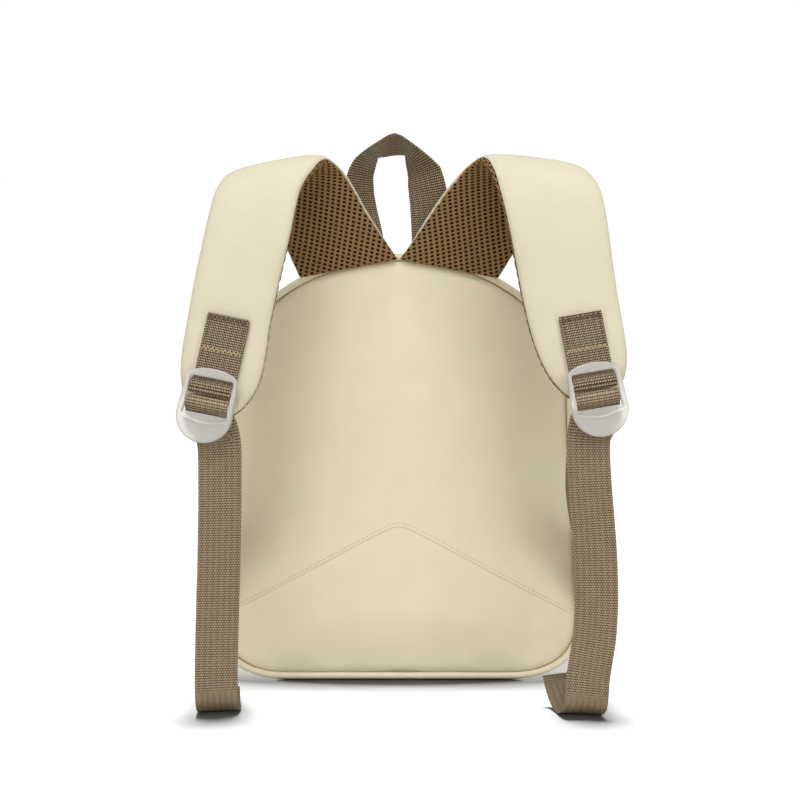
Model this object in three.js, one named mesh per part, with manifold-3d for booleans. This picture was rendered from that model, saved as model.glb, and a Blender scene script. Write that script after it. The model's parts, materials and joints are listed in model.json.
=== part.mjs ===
// Toddler backpack, standing on its base.
// Millimetres, +Z up. The wearer's side faces -Y and the bag's depth runs towards +Y.
// The exported origin is the middle of the flat base. The sizes below count Y from the back seam.
import * as THREE from "three";
import { mergeVertices } from "three/addons/utils/BufferGeometryUtils.js";
import Module from "manifold-3d";

const wasm = await Module();
wasm.setup();

const { lerp, degToRad, clamp } = THREE.MathUtils;
const vec = (x, y, z) => new THREE.Vector3(x, y, z);

// Driving dimensions

// Clearance between neighbouring pieces
const GAP = 0.3;

// Seam line of the back panel: an elliptical arch on flared sides, with soft lower corners
const SEAM_TOP = 259;
const SEAM_BASE = 5;
const ARCH_CENTRE = 180;
const ARCH_HALF = 102;
const BASE_HALF = 109.5;
const CORNER_WIDE = 45;
const CORNER_HIGH = 38;
const CORNER_POWER = 2.6; // squareness of the lower corners, 2 is an ellipse
const OUTLINE_STEPS = { arch: 10, side: 4, corner: 6, base: 2 };

// Bag body
const BAG_DEPTH = 100;
const PANEL_WALL = 3;
const GUSSET_WALL = 2;
const PIPING_RADIUS = 2.1;
const PIPING_OFFSET = 2.35; // from the seam line out to the cord's middle
const PIPING_Y = 1.5;
const PIPING_SIDES = 8;
const BACK_CROWN = 8;
const FRONT_CROWN = 9;
const CROWN_POWER = 2.5;
const CROWN_CENTRE = 128;
const CROWN_RINGS = [0.3, 0.58, 0.8, 0.93, 1];
const GUSSET_EDGE = 3.2; // the gusset's outer face at its edges, out from the seam line
const GUSSET_BULGE = { side: 3, top: 1.5, base: 6 };
const GUSSET_ROWS = 6;
const FRONT_TAPER = { wide: 0.03, high: 0.035 }; // the front is this much smaller than the back

// Chevron seam across the back panel
const CHEVRON_APEX = 100.6;
const CHEVRON_SLOPE = 0.552;

// Zip in the top of the gusset
const ZIP_STEPS = 12; // outline steps from the top of the arch to each end of the zip
const ZIP_SECTION = { tape: 9, coil: 3.6, thick: 1.2, rise: 1, slope: 0.4 };
const ZIP_SHORT = 0.02; // the zip stops this many outline steps before each end of its slot
const ZIP_SLIDER = { wide: 8, long: 11, high: 4, round: 2.5, place: 2 };
const ZIP_PULL = { wide: 7, long: 24, thick: 1.4, round: 3, lap: 2, lift: 0.4 };

// Webbing
const WEB_WIDTH = 25;
const WEB_THICK = 1.2;
const WEB_SPANS = 2; // sections between two points of a path

// Shoulder straps: a padded cloth face over an air mesh face
const COVER_THICK = 6.5;
const MESH_THICK = 2.6;
const PAD_EDGE = 0.5; // share of the thickness that is left at the strap's edges
const SEWN_SHARE = 0.18; // share of the thickness that is left where the strap is sewn in
const STRAP_SPANS = 2;
const FLAT_SHARES = [0, 0.25, 0.5, 0.75, 1]; // shares of the width, on the strap's middle surface
const CROWN_SHARES = [1, 0.95, 0.82, 0.5, 0.18, 0.05, 0]; // and on its crowned face

// Each row is a section across the strap, from its sewn end over the fold down to its tip:
// the inner edge, the outer edge and the share of the full padding there.
const STRAP_COLUMNS = ["innerX", "innerY", "innerZ", "outerX", "outerY", "outerZ", "pad"];
const STRAP_SECTIONS = {
  left: [
    [-0.5, -2.4, 260.4, -60.0, -2.4, 249.2, SEWN_SHARE],
    [-7.0, -4.6, 270.5, -64.6, -4.6, 259.5, 0.4],
    [-19.5, -9.0, 290.0, -73.5, -9.0, 278.5, 1],
    [-30.6, -15.0, 309.6, -88.3, -14.0, 297.8, 1],
    [-41.6, -27.0, 319.2, -101.0, -25.0, 307.6, 1],
    [-49.4, -42.0, 313.0, -106.2, -36.0, 302.0, 1],
    [-56.0, -50.5, 302.5, -108.7, -43.0, 294.5, 1],
    [-61.5, -60.0, 278.0, -113.4, -52.0, 273.0, 1],
    [-68.0, -66.5, 250.0, -118.2, -59.0, 249.5, 1],
    [-73.6, -72.2, 223.0, -121.9, -64.5, 227.0, 1],
    [-77.2, -77.0, 199.5, -124.9, -69.2, 207.5, 1],
    [-82.0, -79.7, 187.0, -125.0, -71.8, 195.0, 1],
    [-89.5, -81.7, 178.0, -122.5, -74.0, 184.0, 0.9],
    [-98.0, -83.0, 172.8, -114.5, -75.8, 175.8, 0.6],
  ],
  right: [
    [0.5, -2.4, 260.4, 60.3, -2.4, 248.8, SEWN_SHARE],
    [7.5, -4.6, 270.5, 66.3, -4.6, 258.5, 0.4],
    [20.0, -9.0, 290.0, 79.0, -9.0, 279.5, 1],
    [33.8, -15.0, 308.5, 94.0, -14.0, 300.0, 1],
    [47.0, -27.0, 319.0, 107.0, -26.0, 311.9, 1],
    [53.2, -41.0, 313.7, 114.3, -38.0, 307.5, 1],
    [57.2, -50.0, 302.5, 118.2, -46.0, 299.4, 1],
    [62.2, -58.5, 283.0, 121.8, -54.0, 277.5, 1],
    [67.6, -64.5, 255.5, 124.6, -60.0, 254.5, 1],
    [72.6, -69.5, 231.0, 127.8, -65.0, 233.0, 1],
    [79.2, -74.2, 209.0, 131.0, -69.7, 213.0, 1],
    [87.0, -77.2, 194.5, 130.7, -72.7, 201.0, 1],
    [95.5, -79.2, 186.0, 127.0, -75.0, 190.0, 0.9],
    [103.0, -80.5, 181.5, 119.5, -77.0, 183.5, 0.6],
  ],
};

// Ladder-lock buckles, in their own plane: across, along the strap and out from it
const BUCKLE_WIDE = 32.4;
const BUCKLE_TOP = 15.7;
const BUCKLE_FOOT = -27;
const BUCKLE_TAB = -11; // where the rounded thumb tab starts
const BUCKLE_SHOULDER = { along: 8.6, inset: 0.8, pull: 13.4 }; // where the arched top rail starts
const BUCKLE_WINDOW = { wide: 25.8, half: 10.4, round: 1.5 };
const BUCKLE_BACK = -1;
const BUCKLE_FRONT = 2.6;
const BUCKLE_BEVEL = 0.8;
const BUCKLE_RAMP = { deep: 2.4, long: 5 };
const BAR_REACH = 4.9; // each bar's distance from the middle of the window
const BAR_HALF = { along: 1.8, out: 1.1 };
const BAR_LENGTH = 29; // the bars run into the side rails
const BUCKLE_LIFT = 7.25; // the strap's face lies this far behind the bars
// The short webbing is sewn down this far along the strap from the buckle's middle
const BUCKLE_PLACES = {
  left: { x: -107.6, z: 186.7, roll: -1.5, row: 10.5, sewn: 46.5 },
  right: { x: 112.0, z: 190.4, roll: -5.5, row: 10.5, sewn: 44 },
};

// The webbing's way round a buckle's bar: from behind, round the bar on the window's side, up its
// front and back through the slot. Along the strap from the window's middle, and out from the bars.
const WRAP_COLUMNS = ["along", "out"];
const WRAP_ARRIVES = [
  [16, -6.2],
  [11.6, -6.0],
  [8.3, -4.4],
];
const WRAP_TURN = { from: -68, to: -340, step: 34, along: 2.8, out: 2.1 };
const WRAP_LEAVES = [
  [8.7, -0.9],
  [9.9, -2.9],
  [12.4, -4.3],
  [15.5, -4.6],
];

// The long webbing hangs from its buckle to the floor and curls back to its cut end.
// Rows of the hanging stretch: its middle, and how far its outer edge swings to the wearer's side.
const TAIL_COLUMNS = ["x", "y", "z", "swing"];
const TAIL_SECTIONS = {
  left: [
    [-105.2, -86.0, 170, 4],
    [-102.5, -86.4, 160, 9],
    [-102.1, -87.0, 138, 13],
    [-102.5, -87.0, 110, 13],
    [-103.8, -86.5, 72, 13],
    [-104.9, -86.0, 42, 12],
    [-105.4, -86.0, 24, 10],
  ],
  right: [
    [110.4, -87.4, 173, 6],
    [108.2, -88.8, 163, 13],
    [108.8, -89.4, 140, 14],
    [111.9, -91.0, 103, 12],
    [113.2, -93.0, 69, 12],
    [111.8, -94.5, 46, 10],
    [108.9, -95.0, 26, 8],
  ],
};
const TAIL_CURL = {
  left: { radius: 13, turn: 170, drift: 1.5, rise: 0.2 },
  right: { radius: 14.5, turn: 200, drift: -10, rise: 0.7 },
};
const CURL_STEPS = 8;
// Where the long webbing is sewn to the side, beside the piping
const ANCHOR = { y: 9, z: 50, bow: 4 };
const STRAND_STEPS = 6; // from there up to the buckle

// Grab handle: each row gives the outer edge and the inner edge of the webbing
const HANDLE_COLUMNS = ["outerX", "outerY", "outerZ", "innerX", "innerY", "innerZ"];
const HANDLE_SECTIONS = [
  [-32.8, 4.6, 260.1, -7.8, 4.6, 264.0],
  [-33.4, 4.2, 272.0, -9.4, 8.0, 270.5],
  [-33.0, 3.2, 292.0, -14.4, 15.0, 288.0],
  [-31.0, 1.5, 309.5, -16.4, 19.0, 304.0],
  [-26.5, 0.0, 319.2, -14.8, 20.0, 317.8],
  [-15.0, -2.5, 328.9, -9.6, 19.5, 323.6],
  [-2.8, -3.8, 334.8, -4.3, 18.5, 324.2],
  [10.5, -2.0, 326.8, 1.6, 19.0, 323.0],
  [21.8, 0.5, 316.2, 4.6, 17.0, 316.6],
  [28.2, 2.5, 307.0, 5.2, 13.8, 304.0],
  [31.8, 3.6, 291.0, 6.4, 11.0, 288.0],
  [32.6, 4.2, 272.0, 8.0, 7.2, 270.5],
  [32.8, 4.6, 260.1, 7.8, 4.6, 264.0],
];

// Finishes
const CREAM = { color: 0xe3dbbf, roughness: 0.85, metalness: 0 };
const TAUPE = { color: 0x85735d, roughness: 0.8, metalness: 0 };
const BROWN_MESH = { color: 0x765f45, roughness: 0.9, metalness: 0 };
const FROSTED = { color: 0xe6e5e1, roughness: 0.35, metalness: 0 };

// A table's rows as objects with named columns
function readTable(columns, rows) {
  return rows.map((row) => Object.fromEntries(columns.map((name, i) => [name, row[i]])));
}

// A geometry from points and triangles, with its faces turned outwards
function closedGeometry(points, triangles) {
  let volume = 0;
  for (const [a, b, c] of triangles) {
    volume += points[a].dot(points[b].clone().cross(points[c]));
  }
  const order = volume < 0 ? ([a, b, c]) => [a, c, b] : (corners) => corners;
  const geometry = new THREE.BufferGeometry().setFromPoints(points);
  geometry.setIndex(triangles.map(order).flat());
  geometry.computeVertexNormals();
  return geometry;
}

// Skin over a row of rings, split along each face's shorter diagonal.
// A closed loft joins its last ring to its first, an open one is capped.
function loft(rings, closed) {
  const count = rings[0].length;
  const points = rings.flat();
  const triangles = [];
  const spans = closed ? rings.length : rings.length - 1;
  for (let r = 0; r < spans; r++) {
    const here = r * count;
    const next = ((r + 1) % rings.length) * count;
    for (let i = 0; i < count; i++) {
      const j = (i + 1) % count;
      const [a, b, c, d] = [here + i, here + j, next + j, next + i];
      if (points[a].distanceTo(points[c]) <= points[b].distanceTo(points[d])) {
        triangles.push([a, b, c], [a, c, d]);
      } else {
        triangles.push([a, b, d], [b, c, d]);
      }
    }
  }
  if (!closed) {
    const last = (rings.length - 1) * count;
    for (const [start, turned] of [[0, true], [last, false]]) {
      const ring = points.slice(start, start + count);
      const middle = ring.reduce((sum, p) => sum.add(p), vec(0, 0, 0)).divideScalar(count);
      const hub = points.push(middle) - 1;
      for (let i = 0; i < count; i++) {
        const a = start + i;
        const b = start + ((i + 1) % count);
        triangles.push(turned ? [hub, b, a] : [hub, a, b]);
      }
    }
  }
  return closedGeometry(points, triangles);
}

// Solid of a geometry for cutting and joining
function solidOf(geometry) {
  const bare = geometry.clone();
  bare.deleteAttribute("normal");
  bare.deleteAttribute("uv");
  const merged = mergeVertices(bare, 1e-4);
  return new wasm.Manifold(
    new wasm.Mesh({
      numProp: 3,
      vertProperties: new Float32Array(merged.attributes.position.array),
      triVerts: new Uint32Array(merged.index.array),
    }),
  );
}

// Geometry of a cut or joined solid
function geometryOf(solid) {
  const mesh = solid.getMesh();
  const geometry = new THREE.BufferGeometry();
  geometry.setAttribute("position", new THREE.BufferAttribute(new Float32Array(mesh.vertProperties), 3));
  geometry.setIndex(new THREE.BufferAttribute(new Uint32Array(mesh.triVerts), 1));
  geometry.computeVertexNormals();
  return geometry;
}

// A named piece with its own material
function piece(name, geometry, finish) {
  const mesh = new THREE.Mesh(geometry, new THREE.MeshStandardMaterial(finish));
  mesh.name = name;
  return mesh;
}

// Right half of the seam line, from the top of the arch down to the middle of the base
function halfOutline() {
  const points = [];
  const steps = OUTLINE_STEPS;
  for (let i = 0; i < steps.arch; i++) {
    const angle = (i / steps.arch) * (Math.PI / 2);
    const rise = SEAM_TOP - ARCH_CENTRE;
    points.push([ARCH_HALF * Math.sin(angle), ARCH_CENTRE + rise * Math.cos(angle)]);
  }
  const cornerZ = SEAM_BASE + CORNER_HIGH;
  for (let i = 0; i < steps.side; i++) {
    const t = i / steps.side;
    const flare = t * t * (3 - 2 * t);
    points.push([lerp(ARCH_HALF, BASE_HALF, flare), lerp(ARCH_CENTRE, cornerZ, t)]);
  }
  const cornerX = BASE_HALF - CORNER_WIDE;
  for (let i = 0; i < steps.corner; i++) {
    const angle = (i / steps.corner) * (Math.PI / 2);
    const across = Math.cos(angle) ** (2 / CORNER_POWER);
    const down = Math.sin(angle) ** (2 / CORNER_POWER);
    points.push([cornerX + CORNER_WIDE * across, cornerZ - CORNER_HIGH * down]);
  }
  for (let i = 0; i <= steps.base; i++) {
    points.push([lerp(cornerX, 0, i / steps.base), SEAM_BASE]);
  }
  return points;
}

// The whole seam line as { x, z, outX, outZ }, clockwise from the top as the wearer sees it
const SEAM = (() => {
  const right = halfOutline();
  const left = right.slice(1, -1).reverse().map(([x, z]) => [-x, z]);
  const all = [...right, ...left];
  return all.map(([x, z], i) => {
    const [x0, z0] = all[(i + all.length - 1) % all.length];
    const [x1, z1] = all[(i + 1) % all.length];
    const run = Math.hypot(x1 - x0, z1 - z0);
    return { x, z, outX: -(z1 - z0) / run, outZ: (x1 - x0) / run };
  });
})();

// A place between two points of the seam line, counted in steps from the top
function seamAt(index) {
  const count = SEAM.length;
  const whole = Math.floor(index);
  const share = index - whole;
  const a = SEAM[((whole % count) + count) % count];
  const b = SEAM[(((whole + 1) % count) + count) % count];
  return Object.fromEntries(Object.keys(a).map((key) => [key, lerp(a[key], b[key], share)]));
}

const GUSSET_START = PIPING_Y + PIPING_RADIUS + GAP;
const GUSSET_END = BAG_DEPTH - PANEL_WALL;

// A point of the gusset at a place on the seam line, a share of its depth and a height off its face.
// The base is flattened where the bag stands on it.
function gussetPoint(index, share, height) {
  const seam = seamAt(index);
  const slack = Math.sin(Math.PI * clamp(share, 0, 1));
  const limit = seam.outZ < 0 ? GUSSET_BULGE.base : GUSSET_BULGE.top;
  const bulge = lerp(GUSSET_BULGE.side, limit, Math.abs(seam.outZ)) * slack;
  const out = GUSSET_EDGE + bulge;
  const x = (seam.x + seam.outX * out) * (1 - FRONT_TAPER.wide * share);
  const z = SEAM_BASE + (seam.z + seam.outZ * out - SEAM_BASE) * (1 - FRONT_TAPER.high * share);
  const y = lerp(GUSSET_START, GUSSET_END, share);
  return vec(x + seam.outX * height, y, Math.max(z, 0) + seam.outZ * height);
}

// Gusset: a closed band with a slot for the zip
function gussetGeometry() {
  const rings = SEAM.map((_, i) => {
    const shares = Array.from({ length: GUSSET_ROWS + 1 }, (__, k) => k / GUSSET_ROWS);
    const outer = shares.map((share) => gussetPoint(i, share, 0));
    const inner = shares.reverse().map((share) => gussetPoint(i, share, -GUSSET_WALL));
    return [...outer, ...inner];
  });
  const side = ZIP_SECTION.tape / 2 + GAP;
  const through = 4 * GUSSET_WALL;
  const slot = zipLoft(ZIP_STEPS, [
    [-side, -through],
    [side, -through],
    [side, through],
    [-side, through],
  ]);
  return geometryOf(solidOf(loft(rings, true)).subtract(solidOf(slot)));
}

// A section swept over the arch in the middle of the gusset, given as depth and height rows
function zipLoft(reach, section) {
  const steps = Math.ceil(reach);
  const rings = [];
  for (let i = -steps; i <= steps; i++) {
    const index = clamp(i, -reach, reach);
    const depth = GUSSET_END - GUSSET_START;
    rings.push(section.map(([y, height]) => gussetPoint(index, 0.5 + y / depth, height)));
  }
  return loft(rings, false);
}

// Zip: tape, coil and a slider with its pull at the left end
function zipGeometry() {
  const { tape, coil, thick, rise, slope } = ZIP_SECTION;
  const low = -GUSSET_WALL;
  const face = low + thick;
  const chain = zipLoft(ZIP_STEPS - ZIP_SHORT, [
    [-tape / 2, low],
    [tape / 2, low],
    [tape / 2, face],
    [coil / 2, face],
    [coil / 2 - slope, face + rise],
    [slope - coil / 2, face + rise],
    [-coil / 2, face],
    [-tape / 2, face],
  ]);
  const place = ZIP_SLIDER.place - ZIP_STEPS;
  const seat = gussetPoint(place, 0.5, face + ZIP_SLIDER.high / 2);
  const seam = seamAt(place);
  const out = vec(seam.outX, 0, seam.outZ).normalize();
  const depthwise = vec(0, 1, 0);
  const along = out.clone().cross(depthwise);
  const turn = new THREE.Matrix4().makeBasis(depthwise, along, out).setPosition(seat);
  const body = roundedPlate(ZIP_SLIDER.wide, ZIP_SLIDER.long, ZIP_SLIDER.high, ZIP_SLIDER.round);
  const pull = roundedPlate(ZIP_PULL.wide, ZIP_PULL.long, ZIP_PULL.thick, ZIP_PULL.round);
  const pullHeight = ZIP_SLIDER.high / 2 - ZIP_PULL.thick / 2 + ZIP_PULL.lift;
  pull.translate(0, ZIP_PULL.long / 2 - ZIP_PULL.lap, pullHeight);
  body.applyMatrix4(turn);
  pull.applyMatrix4(turn);
  return geometryOf(solidOf(chain).add(solidOf(body)).add(solidOf(pull)));
}

// A flat plate with round corners, centred on the origin
function roundedPlate(wide, long, thick, radius) {
  const x = wide / 2;
  const y = long / 2;
  const shape = new THREE.Shape();
  shape.moveTo(radius - x, -y);
  shape.lineTo(x - radius, -y);
  shape.absarc(x - radius, radius - y, radius, -Math.PI / 2, 0);
  shape.absarc(x - radius, y - radius, radius, 0, Math.PI / 2);
  shape.absarc(radius - x, y - radius, radius, Math.PI / 2, Math.PI);
  shape.absarc(radius - x, radius - y, radius, Math.PI, 1.5 * Math.PI);
  const plate = new THREE.ExtrudeGeometry(shape, { depth: thick, bevelEnabled: false, curveSegments: 3 });
  return plate.translate(0, 0, -thick / 2);
}

// A crowned panel: rings shrink from an edge line to its middle on both faces
function crownedPanel(edge, nearY, farY, crown) {
  const ringAt = (share, y) =>
    edge.map(({ x, z }) => {
      const rise = 1 - share ** CROWN_POWER;
      return vec(x * share, y + crown * rise, CROWN_CENTRE + (z - CROWN_CENTRE) * share);
    });
  const near = CROWN_RINGS.map((share) => ringAt(share, nearY));
  const far = [...CROWN_RINGS].reverse().map((share) => ringAt(share, farY));
  return loft([...near, ...far], false);
}

// The half of the back panel above or below the chevron seam, as a block to keep
function chevronBlock(above) {
  const reach = 2 * BASE_HALF;
  const lift = above ? GAP / 2 : -GAP / 2;
  const foot = CHEVRON_APEX - CHEVRON_SLOPE * reach + lift;
  const limit = above ? 2 * SEAM_TOP : -SEAM_TOP;
  const shape = new THREE.Shape();
  shape.moveTo(-reach, foot);
  shape.lineTo(0, CHEVRON_APEX + lift);
  shape.lineTo(reach, foot);
  shape.lineTo(reach, limit);
  shape.lineTo(-reach, limit);
  const block = new THREE.ExtrudeGeometry(shape, { depth: BAG_DEPTH, bevelEnabled: false });
  return block.translate(0, 0, -BAG_DEPTH / 2).rotateX(Math.PI / 2);
}

// Piping: a cord covered in cloth, round the back panel's seam
function pipingGeometry() {
  const rings = SEAM.map(({ x, z, outX, outZ }) =>
    Array.from({ length: PIPING_SIDES }, (_, k) => {
      const angle = (k / PIPING_SIDES) * 2 * Math.PI;
      const out = PIPING_OFFSET + PIPING_RADIUS * Math.cos(angle);
      return vec(x + outX * out, PIPING_Y + PIPING_RADIUS * Math.sin(angle), z + outZ * out);
    }),
  );
  return loft(rings, true);
}

// A shoulder strap's middle surface, between its cloth face and its mesh face
class StrapSurface {
  constructor(side) {
    const rows = readTable(STRAP_COLUMNS, STRAP_SECTIONS[side]);
    const inner = rows.map((row) => vec(row.innerX, row.innerY, row.innerZ));
    const outer = rows.map((row) => vec(row.outerX, row.outerY, row.outerZ));
    this.last = rows.length - 1;
    this.pads = rows.map((row) => row.pad);
    const edges = side === "left" ? [outer, inner] : [inner, outer];
    [this.west, this.east] = edges.map((points) => new THREE.CatmullRomCurve3(points));
  }

  // The middle of the strap at a row, with its axes: across to +X, along to the tip and out
  frame(row) {
    const nudge = 0.05;
    const middle = (r) => {
      const t = clamp(r / this.last, 0, 1);
      return this.west.getPoint(t).lerp(this.east.getPoint(t), 0.5);
    };
    const t = clamp(row / this.last, 0, 1);
    const across = this.east.getPoint(t).sub(this.west.getPoint(t)).normalize();
    const along = middle(row + nudge).sub(middle(row - nudge)).normalize();
    const out = along.clone().cross(across).normalize();
    return { middle: middle(row), across, along, out };
  }

  pad(row) {
    const below = Math.min(Math.floor(row), this.last - 1);
    return lerp(this.pads[below], this.pads[below + 1], row - below);
  }

  // A point at a row, a share of the width and a height off the surface
  point(row, share, height) {
    const t = clamp(row / this.last, 0, 1);
    const flat = this.west.getPoint(t).lerp(this.east.getPoint(t), share);
    return flat.addScaledVector(this.frame(row).out, height);
  }
}

// One face of a strap: a layer from the middle surface out to a crowned face
function strapLayer(surface, thickness) {
  const sign = Math.sign(thickness);
  const rings = [];
  for (let k = 0; k <= surface.last * STRAP_SPANS; k++) {
    const row = k / STRAP_SPANS;
    const full = thickness * surface.pad(row);
    const crown = (share) => {
      const edge = Math.abs(2 * share - 1);
      return full * lerp(PAD_EDGE, 1, Math.sqrt(1 - edge ** 4)) + sign * (GAP / 2);
    };
    const flat = FLAT_SHARES.map((share) => surface.point(row, share, sign * (GAP / 2)));
    rings.push([...flat, ...CROWN_SHARES.map((share) => surface.point(row, share, crown(share)))]);
  }
  return loft(rings, false);
}

// Flat webbing along a path of middles, with the way that its width points at each
function webbing(middles, widths) {
  const path = new THREE.CatmullRomCurve3(middles, false, "centripetal");
  const turn = new THREE.CatmullRomCurve3(widths);
  const last = (middles.length - 1) * WEB_SPANS;
  const rings = [];
  for (let k = 0; k <= last; k++) {
    const t = k / last;
    const along = path.getTangent(t);
    const across = turn.getPoint(t);
    across.addScaledVector(along, -across.dot(along)).setLength(WEB_WIDTH / 2);
    const out = along.clone().cross(across).setLength(WEB_THICK / 2);
    const middle = path.getPoint(t);
    rings.push(
      [[1, 1], [-1, 1], [-1, -1], [1, -1]].map(([side, face]) =>
        middle.clone().addScaledVector(across, side).addScaledVector(out, face),
      ),
    );
  }
  return loft(rings, false);
}

// A buckle's frame on its strap: x across, y up along the strap, z out
function buckleFrame(side, surface) {
  const place = BUCKLE_PLACES[side];
  const { middle, across, along, out } = surface.frame(place.row);
  const roll = degToRad(place.roll);
  const up = along.clone().negate().applyAxisAngle(out, roll);
  const right = up.clone().cross(out).normalize();
  const reach = COVER_THICK + GAP / 2 + BUCKLE_LIFT;
  const onPlane = middle.clone().addScaledVector(out, reach);
  const origin = vec(place.x, 0, place.z);
  origin.y = onPlane.y - ((origin.x - onPlane.x) * out.x + (origin.z - onPlane.z) * out.z) / out.y;
  return new THREE.Matrix4().makeBasis(right, up, out).setPosition(origin);
}

// The webbing's way round a bar, in the buckle's frame. Direction 1 is the upper bar, -1 the lower one.
function wrapPath(direction, leaves) {
  const { from, to, step, along, out } = WRAP_TURN;
  const turn = [];
  for (let angle = from; angle >= to; angle -= step) {
    const radians = degToRad(angle);
    turn.push([BAR_REACH + along * Math.cos(radians), out * Math.sin(radians)]);
  }
  const rows = readTable(WRAP_COLUMNS, [...WRAP_ARRIVES, ...turn, ...leaves]);
  return rows.map((row) => vec(0, direction * row.along, row.out));
}

// Short webbing: sewn on the strap, round the upper bar and back
function strapWebbing(sewn, frame) {
  const path = wrapPath(1, WRAP_LEAVES);
  path.unshift(vec(0, sewn, path[0].z), vec(0, lerp(sewn, path[0].y, 0.5), path[0].z));
  const leaves = path[path.length - 1];
  path.push(vec(0, lerp(sewn, leaves.y, 0.5), leaves.z), vec(0, sewn + WEB_THICK, leaves.z));
  const middles = path.map((p) => p.applyMatrix4(frame));
  const width = vec(1, 0, 0).transformDirection(frame);
  return webbing(middles, middles.map(() => width));
}

// Long webbing: from the bag's side, up behind the buckle, round the lower bar and down to the floor
function adjusterWebbing(side, frame) {
  const hand = side === "left" ? -1 : 1;
  const width = vec(1, 0, 0).transformDirection(frame);
  const wrap = wrapPath(-1, WRAP_LEAVES.slice(0, 2)).map((p) => p.applyMatrix4(frame));
  const anchorX = BASE_HALF + PIPING_OFFSET + PIPING_RADIUS + 2 * GAP + WEB_THICK / 2;
  const anchor = vec(hand * anchorX, ANCHOR.y, ANCHOR.z);
  const pull = wrap[0].clone().sub(anchor).normalize();
  const flat = pull.clone().cross(vec(1, 0, 0));
  flat.multiplyScalar(Math.sign(flat.dot(width)));
  const middles = [];
  const widths = [];
  for (let k = 0; k < STRAND_STEPS; k++) {
    const t = k / STRAND_STEPS;
    const bow = -ANCHOR.bow * hand * Math.sin(Math.PI * t * t);
    middles.push(anchor.clone().lerp(wrap[0], t).add(vec(bow, 0, 0)));
    widths.push(flat.clone().lerp(width, t * t * (3 - 2 * t)));
  }
  wrap.forEach((point) => {
    middles.push(point);
    widths.push(width);
  });
  const rows = readTable(TAIL_COLUMNS, TAIL_SECTIONS[side]);
  const swungWidth = (degrees) => {
    const angle = degToRad(degrees);
    return vec(Math.cos(angle), -hand * Math.sin(angle), 0);
  };
  for (const row of rows) {
    middles.push(vec(row.x, row.y, row.z));
    widths.push(swungWidth(row.swing));
  }
  const foot = rows[rows.length - 1];
  const { radius, turn, drift, rise } = TAIL_CURL[side];
  for (let k = 1; k <= CURL_STEPS; k++) {
    const share = k / CURL_STEPS;
    const angle = degToRad(turn * share);
    const back = radius * (1 - Math.cos(angle));
    const height = rise + WEB_THICK / 2 + radius * (1 - Math.sin(angle));
    middles.push(vec(foot.x + drift * share, foot.y + back, height));
    widths.push(swungWidth(foot.swing));
  }
  return webbing(middles, widths);
}

// Ladder-lock buckle: a rounded frame with a window, two bars and a sloped thumb tab
function buckleGeometry() {
  const half = BUCKLE_WIDE / 2;
  const shape = new THREE.Shape();
  shape.absellipse(0, BUCKLE_TAB, half, BUCKLE_TAB - BUCKLE_FOOT, Math.PI, 2 * Math.PI, false);
  const { along, inset, pull } = BUCKLE_SHOULDER;
  shape.lineTo(half - inset, along);
  shape.bezierCurveTo(half - inset, pull, half / 2, BUCKLE_TOP, 0, BUCKLE_TOP);
  shape.bezierCurveTo(-half / 2, BUCKLE_TOP, inset - half, pull, inset - half, along);
  const window = BUCKLE_WINDOW;
  const corner = window.round;
  const wide = window.wide / 2;
  const hole = new THREE.Path();
  hole.absarc(wide - corner, window.half - corner, corner, 0, Math.PI / 2);
  hole.absarc(corner - wide, window.half - corner, corner, Math.PI / 2, Math.PI);
  hole.absarc(corner - wide, corner - window.half, corner, Math.PI, 1.5 * Math.PI);
  hole.absarc(wide - corner, corner - window.half, corner, 1.5 * Math.PI, 2 * Math.PI);
  shape.holes.push(hole);
  const body = new THREE.ExtrudeGeometry(shape, {
    depth: BUCKLE_FRONT - BUCKLE_BACK - 2 * BUCKLE_BEVEL,
    bevelThickness: BUCKLE_BEVEL,
    bevelSize: BUCKLE_BEVEL,
    bevelOffset: -BUCKLE_BEVEL,
    bevelSegments: 1,
    curveSegments: 6,
  }).translate(0, 0, BUCKLE_BACK + BUCKLE_BEVEL);
  let solid = solidOf(body);
  for (const direction of [1, -1]) {
    const bar = new THREE.CylinderGeometry(1, 1, BAR_LENGTH, 8).rotateZ(Math.PI / 2);
    bar.scale(1, BAR_HALF.along, BAR_HALF.out).translate(0, direction * BAR_REACH, 0);
    solid = solid.add(solidOf(bar));
  }
  const { deep, long } = BUCKLE_RAMP;
  const ramp = new THREE.BoxGeometry(window.wide, 4 * long, 4 * deep);
  ramp.translate(0, 0, 2 * deep).rotateX(-Math.atan2(deep, long));
  ramp.translate(0, -window.half - long, BUCKLE_FRONT);
  return geometryOf(solid.subtract(solidOf(ramp)));
}

// Grab handle: a loop of webbing from its table of edges
function handleGeometry() {
  const rows = readTable(HANDLE_COLUMNS, HANDLE_SECTIONS);
  const outer = rows.map((row) => vec(row.outerX, row.outerY, row.outerZ));
  const inner = rows.map((row) => vec(row.innerX, row.innerY, row.innerZ));
  const middles = outer.map((point, i) => point.clone().lerp(inner[i], 0.5));
  const widths = outer.map((point, i) => inner[i].clone().sub(point));
  return webbing(middles, widths);
}

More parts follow.
